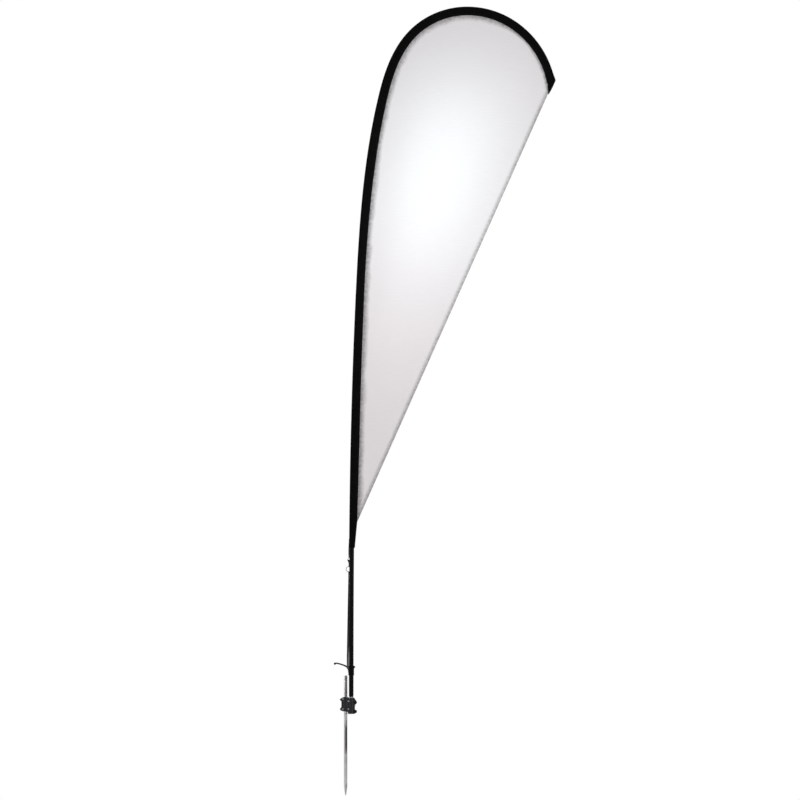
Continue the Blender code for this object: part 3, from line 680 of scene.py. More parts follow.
def shader_group(name, inputs, outputs):
    """An empty shader group with named sockets, its board and its two end nodes."""
    tree = bpy.data.node_groups.new(name, "ShaderNodeTree")
    for label, kind, default in inputs:
        socket = tree.interface.new_socket(label, in_out="INPUT", socket_type=f"NodeSocket{kind}")
        if default is not None:
            socket.default_value = default
    for label in outputs:
        tree.interface.new_socket(label, in_out="OUTPUT", socket_type="NodeSocketFloat")
    given = tree.nodes.new("NodeGroupInput").outputs
    out = tree.nodes.new("NodeGroupOutput").inputs
    return tree, Board(tree), given, out


def weave_group():
    """Crossing threads with slightly uneven tension."""
    tree, board, given, out = shader_group("Woven threads", (
        ("Vector", "Vector", None), ("Pitch", "Float", 0.001), ("Rib", "Float", 0.0),
    ), ("Height", "Tone"))
    wander = board.noise(given["Vector"], 35.0, 2.0)
    shift = board.math("MULTIPLY", wander, 0.35)
    parts = board.add("SeparateXYZ", {0: given["Vector"]})
    turns = []
    for axis in (0, 1):
        count = board.math("DIVIDE", parts.outputs[axis], given["Pitch"])
        count = board.math("ADD", count, shift)
        turns.append(board.math("SINE", board.math("MULTIPLY", count, math.tau)))
    crossed = board.math("MULTIPLY", turns[0], turns[1])
    ribbed = board.math("MULTIPLY", turns[1], given["Rib"])
    both = board.math("ADD", board.math("MULTIPLY", crossed, 0.5), ribbed)
    tree.links.new(board.math("ADD", both, 0.5), out["Height"])
    slub = board.noise(board.stretch(given["Vector"], (22.0, 260.0, 1.0)), 1.0, 3.0)
    tree.links.new(board.ramp(slub, 0.3, 0.7), out["Tone"])
    return tree


def grain_group():
    """Fine pebbled grain of a moulded or cast surface."""
    tree, board, given, out = shader_group("Fine grain", (
        ("Vector", "Vector", None), ("Grain Scale", "Float", 1500.0),
    ), ("Height", "Variation"))
    fine = board.noise(given["Vector"], given["Grain Scale"], 2.0, 0.6)
    broad = board.noise(given["Vector"], 70.0, 4.0, 0.6)
    tree.links.new(fine, out["Height"])
    tree.links.new(board.ramp(broad, 0.32, 0.68), out["Variation"])
    return tree


def streak_group():
    """Long handling marks that run up and down."""
    tree, board, given, out = shader_group("Rubbed streaks", (
        ("Vector", "Vector", None), ("Across", "Float", 900.0), ("Along", "Float", 9.0),
    ), ("Streak", "Patch"))
    size = board.add("CombineXYZ", {0: given["Across"], 1: given["Across"], 2: given["Along"]})
    long_way = board.add("VectorMath", {0: given["Vector"], 1: size.outputs[0]}, operation="MULTIPLY")
    lines = board.noise(long_way.outputs[0], 1.0, 3.0, 0.5)
    tree.links.new(board.ramp(lines, 0.35, 0.7), out["Streak"])
    patch = board.noise(given["Vector"], 28.0, 4.0, 0.65)
    tree.links.new(board.ramp(patch, 0.42, 0.66), out["Patch"])
    return tree


def wear_group():
    """Where raised edges are rubbed."""
    tree, board, given, out = shader_group("Worn edges", (
        ("Vector", "Vector", None), ("Low", "Float", 0.52), ("High", "Float", 0.58),
    ), ("Wear",))
    shape = board.add("NewGeometry")
    edge = board.add("MapRange", {
        "Value": shape.outputs["Pointiness"], "From Min": given["Low"], "From Max": given["High"],
    })
    broken = board.ramp(board.noise(given["Vector"], 220.0, 4.0, 0.7), 0.40, 0.62)
    tree.links.new(board.math("MULTIPLY", edge.outputs[0], broken, clamp=True), out["Wear"])
    return tree


def dust_group():
    """Thin dust and lint that lies on what faces up."""
    tree, board, given, out = shader_group("Dust", (
        ("Vector", "Vector", None), ("Amount", "Float", 0.2),
    ), ("Dust",))
    shape = board.add("NewGeometry")
    up = board.add("SeparateXYZ", {0: shape.outputs["Normal"]}).outputs[2]
    facing = board.ramp(up, -0.2, 0.9, 0.25, 1.0)
    cloud = board.ramp(board.noise(given["Vector"], 160.0, 5.0, 0.7), 0.45, 0.75)
    amount = board.math("MULTIPLY", given["Amount"], facing)
    tree.links.new(board.math("MULTIPLY", cloud, amount, clamp=True), out["Dust"])
    return tree


GROUP_MAKERS = {
    "Woven threads": weave_group, "Fine grain": grain_group, "Rubbed streaks": streak_group,
    "Worn edges": wear_group, "Dust": dust_group,
}


def use_group(board, name, inputs):
    """Place a shader group, making it the first time it is asked for."""
    tree = bpy.data.node_groups.get(name) or GROUP_MAKERS[name]()
    node = board.tree.nodes.new("ShaderNodeGroup")
    node.node_tree = tree
    for key, value in inputs.items():
        if isinstance(value, bpy.types.NodeSocket):
            board.tree.links.new(value, node.inputs[key])
        else:
            node.inputs[key].default_value = value
    return node.outputs


# Materials

def start_material(name, **constants):
    """A material with its Principled shader; constants go straight on its sockets."""
    material = bpy.data.materials.new(name)
    material.use_nodes = True
    board = Board(material.node_tree)
    shader = material.node_tree.nodes["Principled BSDF"]
    for key, value in constants.items():
        shader.inputs[key.replace("_", " ")].default_value = value
    return material, board, shader.inputs


def bump(board, inputs, height, distance, strength=1.0):
    node = board.add("Bump", {"Height": height, "Distance": distance, "Strength": strength})
    board.tree.links.new(node.outputs[0], inputs["Normal"])


def spot_of(board):
    return board.add("TexCoord").outputs["Object"]


def cloth_material(name, settings):
    """Flag cloth: fine weave, with shade painted beside the sleeve's seam and along the hem; near the seam it
    also stands for the dark seam showing through.
    """
    material, board, shader = start_material(
        name, Specular_IOR_Level=0.22, Sheen_Weight=0.12, Sheen_Roughness=0.5,
    )
    spread = board.add("UVMap", uv_map="Cloth").outputs[0]
    weave = use_group(board, "Woven threads", {"Vector": spread, "Pitch": settings.weave_pitch})
    seam = board.add("Attribute", attribute_name="from_seam").outputs["Fac"]
    hem = board.add("Attribute", attribute_name="from_hem").outputs["Fac"]
    drift = board.ramp(board.noise(spread, 9.0, 3.0), 0.3, 0.7, 0.8, 1.25)
    # Painted shade: the cloth is painted darker within a few centimetres of the seam and of the free edge,
    # flecked by noise, and darkest at the foot where the two meet.
    near = board.ramp(board.math("DIVIDE", seam, drift), 0.0, 0.026, 0.84, 0.0)
    fold = board.ramp(hem, 0.0, settings.hem_width * 1.3, 0.74, 0.0)
    painted_pucker_shade = board.ramp(board.noise(spread, 85.0, 2.0), 0.38, 0.62, 0.80, 1.14)
    shade = board.math("MULTIPLY", board.math("MAXIMUM", near, fold), painted_pucker_shade)
    corner = board.math("POWER", board.math("MULTIPLY", near, fold), 2.0)
    shade = board.math("ADD", shade, corner, clamp=True)
    tone = board.mix(weave["Tone"], [c * 0.975 for c in settings.colour], settings.colour)
    board.tree.links.new(board.mix(shade, tone, settings.seam_and_hem_shade), shader["Base Color"])
    board.tree.links.new(board.ramp(weave["Tone"], 0.0, 1.0, 0.78, 0.70), shader["Roughness"])
    bump(board, shader, weave["Height"], 0.00008, 0.5)
    return material


def dark_cloth_material(name, colour, pitch, rib, lint=0.012, drawn=None):
    """Black cloth or webbing with its threads and a little lint; `drawn`, if given, is painted on its lower
    part, and the darker upper part is painted shade.
    """
    material, board, shader = start_material(name, Specular_IOR_Level=0.04)
    spread = board.add("UVMap", uv_map="Cloth").outputs[0]
    weave = use_group(board, "Woven threads", {"Vector": spread, "Pitch": pitch, "Rib": rib})
    dust = use_group(board, "Dust", {"Vector": spot_of(board), "Amount": lint})
    bright = [min(1.0, c * 1.9 + 0.001) for c in colour]
    tone = board.mix(board.math("MULTIPLY", weave["Tone"], weave["Height"], clamp=True), colour, bright)
    # Painted shade: darker higher up, changing to the paler `drawn` colour towards the bottom.
    if drawn is not None:
        height = board.add("SeparateXYZ", {0: spot_of(board)}).outputs[2]
        tone = board.mix(board.ramp(height, 0.22, 0.50, 1.0, 0.0), tone, drawn)
    board.tree.links.new(board.mix(dust["Dust"], tone, (0.16, 0.155, 0.15)), shader["Base Color"])
    board.tree.links.new(board.ramp(weave["Tone"], 0.0, 1.0, 0.92, 0.80), shader["Roughness"])
    bump(board, shader, weave["Height"], pitch * 0.18, 0.6)
    return material


def thread_material(name, colour):
    """Twisted sewing thread."""
    material, board, shader = start_material(name, Specular_IOR_Level=0.25)
    twist = board.noise(spot_of(board), 2600.0, 2.0)
    board.tree.links.new(
        board.mix(board.ramp(twist, 0.3, 0.7), [c * 0.8 for c in colour], colour), shader["Base Color"]
    )
    board.tree.links.new(board.ramp(twist, 0.3, 0.7, 0.62, 0.5), shader["Roughness"])
    bump(board, shader, twist, 0.00005, 0.6)
    return material


def plastic_material(name, colour, rough, grain, wear=0.3, dust=0.12, level=0.4):
    """Moulded plastic: fine grain, rubbed edges and a film of dust."""
    material, board, shader = start_material(name, Specular_IOR_Level=level)
    spot = spot_of(board)
    fine = use_group(board, "Fine grain", {"Vector": spot, "Grain Scale": grain})
    worn = use_group(board, "Worn edges", {"Vector": spot})
    film = use_group(board, "Dust", {"Vector": spot, "Amount": dust})
    pale = [min(1.0, c * 2.6 + 0.02) for c in colour]
    base = board.mix(fine["Variation"], [c * 0.8 for c in colour], colour)
    base = board.mix(board.math("MULTIPLY", worn["Wear"], wear), base, pale)
    base = board.mix(film["Dust"], base, (0.24, 0.23, 0.21))
    board.tree.links.new(base, shader["Base Color"])
    gloss = board.ramp(fine["Variation"], 0.0, 1.0, rough * 0.82, rough * 1.2)
    gloss = board.math("ADD", gloss, board.math("MULTIPLY", film["Dust"], 0.5), clamp=True)
    board.tree.links.new(gloss, shader["Roughness"])
    bump(board, shader, fine["Height"], 0.00006, 0.5)
    return material


def coated_pole_material(name, colour):
    """Satin black coating with rubbed streaks up and down the tube."""
    material, board, shader = start_material(
        name, Specular_IOR_Level=0.06, Coat_Weight=0.015, Coat_Roughness=0.22,
    )
    spot = spot_of(board)
    streak = use_group(board, "Rubbed streaks", {"Vector": spot, "Across": 700.0, "Along": 5.0})
    fine = use_group(board, "Fine grain", {"Vector": spot, "Grain Scale": 2200.0})
    film = use_group(board, "Dust", {"Vector": spot, "Amount": 0.05})
    lit = board.mix(board.math("MULTIPLY", streak["Streak"], 0.5), colour, [c * 2.2 for c in colour])
    board.tree.links.new(board.mix(film["Dust"], lit, (0.2, 0.19, 0.18)), shader["Base Color"])
    gloss = board.ramp(streak["Patch"], 0.0, 1.0, 0.34, 0.44)
    board.tree.links.new(gloss, shader["Roughness"])
    bump(board, shader, fine["Height"], 0.00003, 0.4)
    return material


def steel_material(name, colour, tarnish_and_shade, rough, painted_dark_side):
    """Plated or bright steel with streaks; the last argument is how strongly dark reflections and shade are
    painted in bands on the stake's right side.
    """
    material, board, shader = start_material(name, Metallic=1.0, Anisotropic=0.25)
    spot = spot_of(board)
    streak = use_group(board, "Rubbed streaks", {"Vector": spot, "Across": 1100.0, "Along": 14.0})
    fine = use_group(board, "Fine grain", {"Vector": spot, "Grain Scale": 3000.0})
    worn = use_group(board, "Worn edges", {"Vector": spot, "Low": 0.62, "High": 0.75})
    # Painted reflection and shade: the stake's right side is painted dark above the clamp, in a band lower
    # down and near the tip, and that band is also painted faintly all round.
    tone = board.mix(board.math("MULTIPLY", streak["Streak"], 0.14), colour, tarnish_and_shade)
    if painted_dark_side > 0.0:
        parts = board.add("SeparateXYZ", {0: spot}).outputs
        wobble = board.math("MULTIPLY", board.noise(spot, 60.0, 3.0), 0.030)
        height = board.math("ADD", parts[2], board.math("SUBTRACT", wobble, 0.015))
        side = board.ramp(board.math("ADD", parts[0], board.math("MULTIPLY", wobble, 0.08)), -0.0036, 0.0026)
        above = board.ramp(height, 0.050, 0.075)
        painted_low_band = board.math("MULTIPLY", board.ramp(height, -0.115, -0.165, 1.0, 0.0),
                          board.ramp(height, -0.055, -0.020, 1.0, 0.0))
        tip = board.ramp(height, -0.280, -0.255, 0.6, 0.0)
        marks = board.math("ADD", above, board.math("ADD", painted_low_band, tip), clamp=True)
        amount = board.math("MULTIPLY", board.math("MULTIPLY", marks, side), painted_dark_side)
        all_round = board.math("MULTIPLY", painted_low_band, 0.12)
        tone = board.mix(board.math("ADD", amount, all_round, clamp=True), tone, tarnish_and_shade)
    tone = board.mix(board.math("MULTIPLY", worn["Wear"], 0.4), tone, (0.80, 0.79, 0.78))
    board.tree.links.new(tone, shader["Base Color"])
    gloss = board.ramp(streak["Patch"], 0.0, 1.0, rough * 0.9, rough * 1.3)
    board.tree.links.new(gloss, shader["Roughness"])
    bump(board, shader, fine["Height"], 0.000006, 0.3)
    return material


def fibre_material(name, colour):
    """Glass fibre rod: long pale strands under a clear skin."""
    material, board, shader = start_material(name, Coat_Weight=0.3, Coat_Roughness=0.15)
    spot = spot_of(board)
    streak = use_group(board, "Rubbed streaks", {"Vector": spot, "Across": 1500.0, "Along": 30.0})
    tone = board.mix(streak["Streak"], colour, [min(1.0, c * 3.0) for c in colour])
    board.tree.links.new(tone, shader["Base Color"])
    board.tree.links.new(board.ramp(streak["Streak"], 0.0, 1.0, 0.32, 0.46), shader["Roughness"])
    bump(board, shader, streak["Streak"], 0.00004, 0.4)
    return material


def floor_material(name, colour):
    """Pale studio floor."""
    material, board, shader = start_material(name, Specular_IOR_Level=0.15)
    spot = spot_of(board)
    broad = board.ramp(board.noise(spot, 0.8, 3.0), 0.3, 0.7)
    board.tree.links.new(board.mix(broad, [c * 0.985 for c in colour], colour), shader["Base Color"])
    shader["Roughness"].default_value = 0.8
    return material


def finish_of(name):
    """Look up a finish, making it the first time it is asked for."""
    found = bpy.data.materials.get(name)
    if found:
        return found
    scene = bpy.context.scene
    flag, sleeve, pole = scene.flag_cloth, scene.flag_sleeve, scene.flag_pole
    clamp, strap = scene.flag_clamp, scene.flag_strap
    makers = {
        "Flag cloth": lambda: cloth_material(name, flag),
        "Hem thread": lambda: thread_material(name, flag.thread),
        "Sleeve cloth": lambda: dark_cloth_material(name, sleeve.colour, sleeve.weave_pitch, 0.0),
        "Sleeve thread": lambda: thread_material(name, sleeve.thread),
        "Webbing": lambda: dark_cloth_material(name, sleeve.webbing, 0.0013, 0.5),
        # The elastic is painted paler towards the bottom, with painted shade higher up.
        "Elastic": lambda: dark_cloth_material(name, strap.colour, 0.0011, 0.8, 0.05, strap.drawn),
        "Coated pole": lambda: coated_pole_material(name, pole.colour),
        "Glass fibre": lambda: fibre_material(name, pole.fibre),
        "Moulded black": lambda: plastic_material(name, pole.moulded, 0.42, 1600.0, 0.15, 0.015, 0.07),
        "Clamp plastic": lambda: plastic_material(name, clamp.plastic, 0.25, 1300.0, 0.6, 0.06, 0.46),
        "Nylon": lambda: plastic_material(name, clamp.nylon, 0.42, 1800.0, 0.1, 0.15, 0.45),
        # The plated stake's last number is the strength of its painted dark reflections and shade.
        "Plated steel": lambda: steel_material(name, clamp.plating, clamp.tarnish_and_shade, 0.20, 0.9),
        "Bright steel": lambda: steel_material(name, clamp.wire, clamp.tarnish_and_shade, 0.26, 0.0),
        "Bolt steel": lambda: steel_material(name, clamp.bolts, clamp.tarnish_and_shade, 0.30, 0.0),
        "Ring wire": lambda: steel_material(name, clamp.wire, clamp.tarnish_and_shade, 0.24, 0.0),
        "Blackened steel": lambda: steel_material(name, clamp.blackened, (0.06, 0.04, 0.03), 0.38, 0.0),
    }
    return makers[name]()


# The flag

def panel_point(settings, along, across, y=0.0, tuck=0.0):
    """A point of the flag: `along` from foot to head, `across` from seam to free edge."""
    s = FLAG_FOOT + (FLAG_HEAD - FLAG_FOOT) * along
    seam = beside_pole(s, between(SLEEVE_SEAM, s) - tuck)
    foot = beside_pole(FLAG_FOOT, between(SLEEVE_SEAM, FLAG_FOOT))
    head = beside_pole(FLAG_HEAD, between(SLEEVE_SEAM, FLAG_HEAD))
    edge = foot.lerp(head, along)
    belly = settings.belly * math.sin(math.pi * across) * math.sin(math.pi * along) ** 0.8
    return seam.lerp(edge, across) + Vector((0.0, y - belly, 0.0))


SEAM_STEP = 0.002


def seam_finder():
    """A tree of points on the seam, to measure how far a point is from it."""
    steps = steps_of(FLAG_FOOT, FLAG_HEAD, SEAM_STEP)
    tree = kdtree.KDTree(len(steps))
    for index, s in enumerate(steps):
        tree.insert(beside_pole(s, between(SLEEVE_SEAM, s)), index)
    tree.balance()
    return tree


def seam_gap(seams, point):
    """Distance from the seam; it counts for more past the bend, where the shade is narrow."""
    _, index, gap = seams.find(Vector((point.x, 0.0, point.z)))
    past = min(max((FLAG_FOOT + index * SEAM_STEP - 3.06) / 0.20, 0.0), 1.0)
    return gap * (1.0 + 0.9 * past)


def from_edge(point):
    """Distance of a point from the straight free edge."""
    foot = beside_pole(FLAG_FOOT, between(SLEEVE_SEAM, FLAG_FOOT))
    head = beside_pole(FLAG_HEAD, between(SLEEVE_SEAM, FLAG_HEAD))
    line, away = head - foot, point - foot
    return abs(line.z * away.x - line.x * away.z) / line.length


def hem_waver(s, inset):
    """How far the drawn cloth stands out of plane near the free edge."""
    return 0.0007 * math.sin(s * 46.0 + 1.5 * math.sin(s * 9.0)) * math.exp(-inset / 0.03)


def panel_columns():
    """Shares across the flag: close at the seam and at the hem, open between."""
    near = [0.0, 0.004, 0.010, 0.018, 0.028, 0.040, 0.055, 0.072, 0.092, 0.115]
    middle = [0.115 + (0.90 - 0.115) * i / 34 for i in range(1, 34)]
    far = [0.90, 0.92, 0.94, 0.955, 0.967, 0.977, 0.985, 0.991, 0.996, 1.0]
    return near + middle + far


def build_panel(settings):
    """The cloth: two close skins joined round the edge, thicker at the folded hem."""
    rows = steps_of(0.0005, 0.9995, 0.0036)
    columns = panel_columns()
    seams = seam_finder()
    bm = bmesh.new()
    cloth = bm.loops.layers.uv.new("Cloth")
    seam_mark = bm.verts.layers.float.new("from_seam")
    hem_mark = bm.verts.layers.float.new("from_hem")
    spread = {}
    grids = {-1: [], 1: []}
    length = FLAG_HEAD - FLAG_FOOT
    for along in rows:
        s = along * length
        width = (panel_point(settings, along, 1.0) - panel_point(settings, along, 0.0)).length
        tuck = min(0.003, width * 0.5)
        lines = {-1: [], 1: []}
        for across in columns:
            middle = panel_point(settings, along, across, 0.0, tuck)
            in_seam = seam_gap(seams, middle) if across > 0.004 else 0.0
            in_hem = from_edge(middle)
            bend = min(max((s - 1.2) / 0.9, 0.25), 1.0)
            phase = math.tau * s / settings.gather_spacing + 2.2 * math.sin(s * 17.0)
            gather = settings.gather * bend * math.sin(phase) * math.exp(-in_seam / 0.022)
            gather *= min(1.0, in_seam / 0.004)
            fold = math.exp(-((in_hem - settings.hem_width) / 0.004) ** 2)
            drape = 0.0016 * noise.noise(Vector((middle.x * 5.0, 0.3, middle.z * 3.0)))
            drape *= min(1.0, in_seam / 0.05) * min(1.0, in_hem / 0.05)
            middle.y += gather + hem_waver(s, in_hem) + drape
            half = 0.00058 if in_hem < settings.hem_width else 0.00030 + 0.0001 * fold
            for side in (-1, 1):
                vert = bm.verts.new(middle + Vector((0.0, side * half, 0.0)))
                vert[seam_mark] = in_seam
                vert[hem_mark] = in_hem
                spread[vert] = (middle.x, middle.z)
                lines[side].append(vert)
        for side in (-1, 1):
            grids[side].append(lines[side])
    return close_pad(bm, cloth, grids, spread)


def panel_lines(settings, insets):
    """Lines along the free edge, on both faces, at distances from the edge."""
    lines = []
    for inset in insets:
        for side in (-1, 1):
            line = []
            for along in steps_of(0.012, 0.990, 0.006):
                width = from_edge(panel_point(settings, along, 0.0))
                if width < inset * 1.6:
                    continue
                s = along * (FLAG_HEAD - FLAG_FOOT)
                point = panel_point(settings, along, 1.0 - inset / width, side * 0.00062)
                line.append(point + Vector((0.0, hem_waver(s, inset), 0.0)))
            lines.append(line)
    return lines


class FLAG_OT_cloth(bpy.types.Operator):
    """Build the white flag with its hem and stitching"""
    bl_idname = "flag.cloth"
    bl_label = "Flag Cloth"

    def execute(self, context):
        settings = context.scene.flag_cloth
        panel = place("flag_cloth", build_panel(settings), finish_of("Flag cloth"), 70.0)
        settle(panel, "pole", "white_fabric", "flag_panel")
        rows = panel_lines(settings, (0.0035, settings.hem_width - 0.0030))
        hem = stitches(
            "flag_hem_stitches", rows, settings.stitch_pitch, settings.thread_radius,
            finish_of("Hem thread"),
        )
        settle(hem, "pole", "white_fabric")
        return {"FINISHED"}


# The sleeve

def sleeve_section(radius, reach, half_edge, count=22):
    """Half a section: round behind the pole, drawn in to the flat seam edge."""
    length = math.hypot(reach, half_edge)
    touch = math.acos(min(radius / length, 1.0)) + math.atan2(half_edge, reach)
    half = [(reach, half_edge)]
    start = math.atan2(half_edge, reach)
    for k in range(1, count + 1):
        angle = start + (math.pi - start) * (k / (count + 1)) ** 1.25
        spread = radius / math.cos(touch - angle) if angle < touch else radius
        half.append((spread * math.cos(angle), spread * math.sin(angle)))
    return half


def sleeve_points(s, settings, grow_by=0.0):
    """One ring of the sleeve's outside."""
    radius = between(SLEEVE_POCKET, s) + settings.wall + grow_by
    seam = between(SLEEVE_SEAM, s) + grow_by * 0.4
    half = sleeve_section(radius, seam, 0.0011 + grow_by)
    ring = [(x, y) for x, y in half] + [(-radius, 0.0)] + [(x, -y) for x, y in reversed(half)]
    points = []
    for x, y in ring:
        part = max(0.0, 1.0 - abs(x - seam * 0.45) / (seam * 0.6))
        wave = math.sin(s * 190.0 + 2.6 * math.sin(s * 21.0) + x * 160.0)
        lift = settings.ripple * part * wave * (1.0 if y > 0 else -1.0 if y < 0 else 0.0)
        points.append(beside_pole(s, x, y + lift))
    return points


def uv_by_ring(bm, rings, lengths):
    """Give a ringed mesh a map in metres: round the ring, then along the piece."""
    cloth = bm.loops.layers.uv.new("Cloth")
    spread = {}
    for ring, along in zip(rings, lengths):
        run = 0.0
        for i, vert in enumerate(ring):
            if i:
                run += (vert.co - ring[i - 1].co).length
            spread[vert] = (run, along)
    for face in bm.faces:
        for loop in face.loops:
            loop[cloth].uv = spread.get(loop.vert, (0.0, 0.0))


def build_sleeve(settings):
    stations = steps_of(SLEEVE_START, SLEEVE_END, 0.011)
    cuff_end = SLEEVE_START + settings.cuff
    extra = [SLEEVE_START + 0.0008, cuff_end - 0.0006, cuff_end + 0.0006]
    stations = sorted(stations + extra)
    bm = bmesh.new()
    rings, bores = [], []
    for i, s in enumerate(stations):
        thick = 0.00045 if s < cuff_end else 0.0
        if i == 0:
            thick = 0.0
        rings.append([bm.verts.new(p) for p in sleeve_points(s, settings, thick)])
        radius = between(SLEEVE_POCKET, s)
        seam = between(SLEEVE_SEAM, s)
        half = sleeve_section(radius, max(radius + 0.0006, seam - 0.007), 0.0004)
        ring = [(x, y) for x, y in half] + [(-radius, 0.0)] + [(x, -y) for x, y in reversed(half)]
        bores.append([bm.verts.new(beside_pole(s, x, y)) for x, y in ring])
    skin(bm, rings)
    skin(bm, bores)
    skin(bm, [rings[0], bores[0]])
    skin(bm, [rings[-1], bores[-1]])
    uv_by_ring(bm, rings + bores, stations + stations)
    bmesh.ops.recalc_face_normals(bm, faces=bm.faces)
    return bm


def sleeve_surface(s, share, side, settings, lift=0.0):
    """A point on the sleeve's outside, `share` of the way from the seam edge to the pole."""
    radius = between(SLEEVE_POCKET, s) + settings.wall
    seam = between(SLEEVE_SEAM, s)
    reach = seam - share
    length = math.hypot(seam, 0.0011)
    touch = math.acos(min(radius / length, 1.0)) + math.atan2(0.0011, seam)
    edge = Vector((seam, 0.0011))
    tangent = Vector((radius * math.cos(touch), radius * math.sin(touch)))
    t = min(1.0, (edge.x - reach) / max(edge.x - tangent.x, 1e-6))
    y = edge.y + (tangent.y - edge.y) * t + lift
    return beside_pole(s, reach, side * y)


def build_point(settings):
    """The sewn point: a double pad that closes the sleeve, cut at a slant."""
    start = SLEEVE_END - 0.012
    seam = between(SLEEVE_SEAM, SLEEVE_END)
    back = between(SLEEVE_POCKET, SLEEVE_END) + settings.wall + 0.0004
    across = [i / 16 for i in range(17)]
    rows = [i / 20 for i in range(21)]
    bm = bmesh.new()
    cloth = bm.loops.layers.uv.new("Cloth")
    spread = {}
    grids = {-1: [], 1: []}
    for v in rows:
        lines = {-1: [], 1: []}
        for u in across:
            left = -back + (POINT_OUTER[1] + back) * max(0.0, v * 1.35 - 0.35)
            n = left + (seam + 0.0004 - left) * u
            end = POINT_OUTER[0] + (POINT_INNER - POINT_OUTER[0]) * u
            s = start + (end - start) * v
            round_part = math.sqrt(max(0.0, 1.0 - min(1.0, (n / back)) ** 2)) if n < back else 0.0
            if n < 0.0:
                round_part = math.sqrt(max(0.0, 1.0 - (n / -left) ** 2)) if left < 0 else 0.0
            slope = max(0.0, 1.0 - max(n, 0.0) / (seam * 0.92))
            full = max(0.0056 * round_part, 0.0050 * slope if n > 0 else 0.0, 0.0015 if n > 0 else 0.0)
            flatten = 1.0 - 0.62 * v
            edge = min(1.0, (1.0 - v) / 0.06)
            half = max(0.0011, full * flatten) * (0.35 + 0.65 * math.sqrt(edge))
            if u == 0.0:
                half = 0.0005
            for side in (-1, 1):
                vert = bm.verts.new(beside_pole(s, n, side * half))
                spread[vert] = (n, s)
                lines[side].append(vert)
        for side in (-1, 1):
            grids[side].append(lines[side])
    return close_pad(bm, cloth, grids, spread)


class FLAG_OT_sleeve(bpy.types.Operator):
    """Build the black sleeve, its sewn point and its stitching"""
    bl_idname = "flag.sleeve"
    bl_label = "Sleeve"

    def execute(self, context):
        settings = context.scene.flag_sleeve
        sleeve = place("sleeve", build_sleeve(settings), finish_of("Sleeve cloth"), 60.0)
        settle(sleeve, "pole", "black_fabric", "pole_sleeve")
        point = place("sleeve_end_point", build_point(settings), finish_of("Sleeve cloth"), 50.0)
        settle(point, "pole", "black_fabric", "sleeve_point")
        lines = []
        for share in (0.0022, 0.0068):
            for side in (-1, 1):
                lines.append([
                    sleeve_surface(s, share, side, settings, 0.0001)
                    for s in steps_of(FLAG_FOOT + 0.006, SLEEVE_END - 0.020, 0.012)
                ])
        lines.append(sleeve_points(SLEEVE_START + (settings.cuff - 0.0035), settings, 0.00055))
        thread = stitches(
            "sleeve_stitches", lines, settings.stitch_pitch, settings.thread_radius,
            finish_of("Sleeve thread"),
        )
        settle(thread, "pole", "black_fabric")
        return {"FINISHED"}


# The pole

class FLAG_OT_pole(bpy.types.Operator):
    """Build the pole's lower tube and foot"""
    bl_idname = "flag.pole"
    bl_label = "Pole"

    def execute(self, context):
        settings = context.scene.flag_pole
        start, end, radius, bore = LOWER_TUBE
        line = [beside_pole(s, 0.0) for s in steps_of(start, end, 0.02)]
        tube = grow("pole_tube_lower", [line], tube_tree(), {
            "Radius": radius, "Sides": settings.sides, "Material": finish_of("Coated pole"),
        })
        wall = tube.modifiers.new("wall", "SOLIDIFY")
        wall.thickness = radius - bore
        wall.offset = -1.0
        wall.use_even_offset = True
        lip = tube.modifiers.new("lip", "BEVEL")
        lip.width = 0.0003
        lip.segments = 2
        lip.limit_method = "ANGLE"
        lip.angle_limit = math.radians(50.0)
        make_plain(tube)
        tube.data.shade_smooth()
        tube.data.set_sharp_from_angle(angle=math.radians(45.0))
        settle(tube, "pole", "pole_aluminium", "pole_lower_tube")
        foot = POLE_FOOT_Z
        shoulder = foot + LOWER_TUBE[0] - 0.0003
        liner = eased((
            (0.0068, foot), (radius - 0.0016, foot), (radius - 0.0004, foot + 0.0007),
            (radius, foot + 0.0018), (radius, shoulder), (0.0076, shoulder),
            (0.0076, foot + 0.028), (0.0068, foot + 0.028),
        ), 0.00035, closed=True)
        cap = turned(liner, settings.sides, closed=True)
        bmesh.ops.translate(cap, verts=cap.verts, vec=(POLE_X, 0.0, 0.0))
        settle(
            place("pole_foot_cap", cap, finish_of("Moulded black")), "pole", "moulded_black",
            "pole_foot_bush",
        )
        return {"FINISHED"}


# Stake, spindle and bushes

class FLAG_OT_stake(bpy.types.Operator):
    """Build the plated ground stake"""
    bl_idname = "flag.stake"
    bl_label = "Ground Stake"

    def execute(self, context):
        low, high = STAKE_BOX
        radius = (high.x - low.x) / 2
        taper = 0.034
        profile = eased((
            (0.0006, low.z), (0.0012, low.z + 0.0010), (0.0030, low.z + 0.0075),
            (radius - 0.0006, low.z + taper - 0.004), (radius, low.z + taper),
            (radius, high.z - 0.0011), (radius - 0.0009, high.z), (radius - 0.003, high.z),
        ), 0.0012)
        stake = place("stake_rod", turned(profile, 64), finish_of("Plated steel"))
        settle(stake, "stake", "plated_steel", "ground_stake")
        return {"FINISHED"}


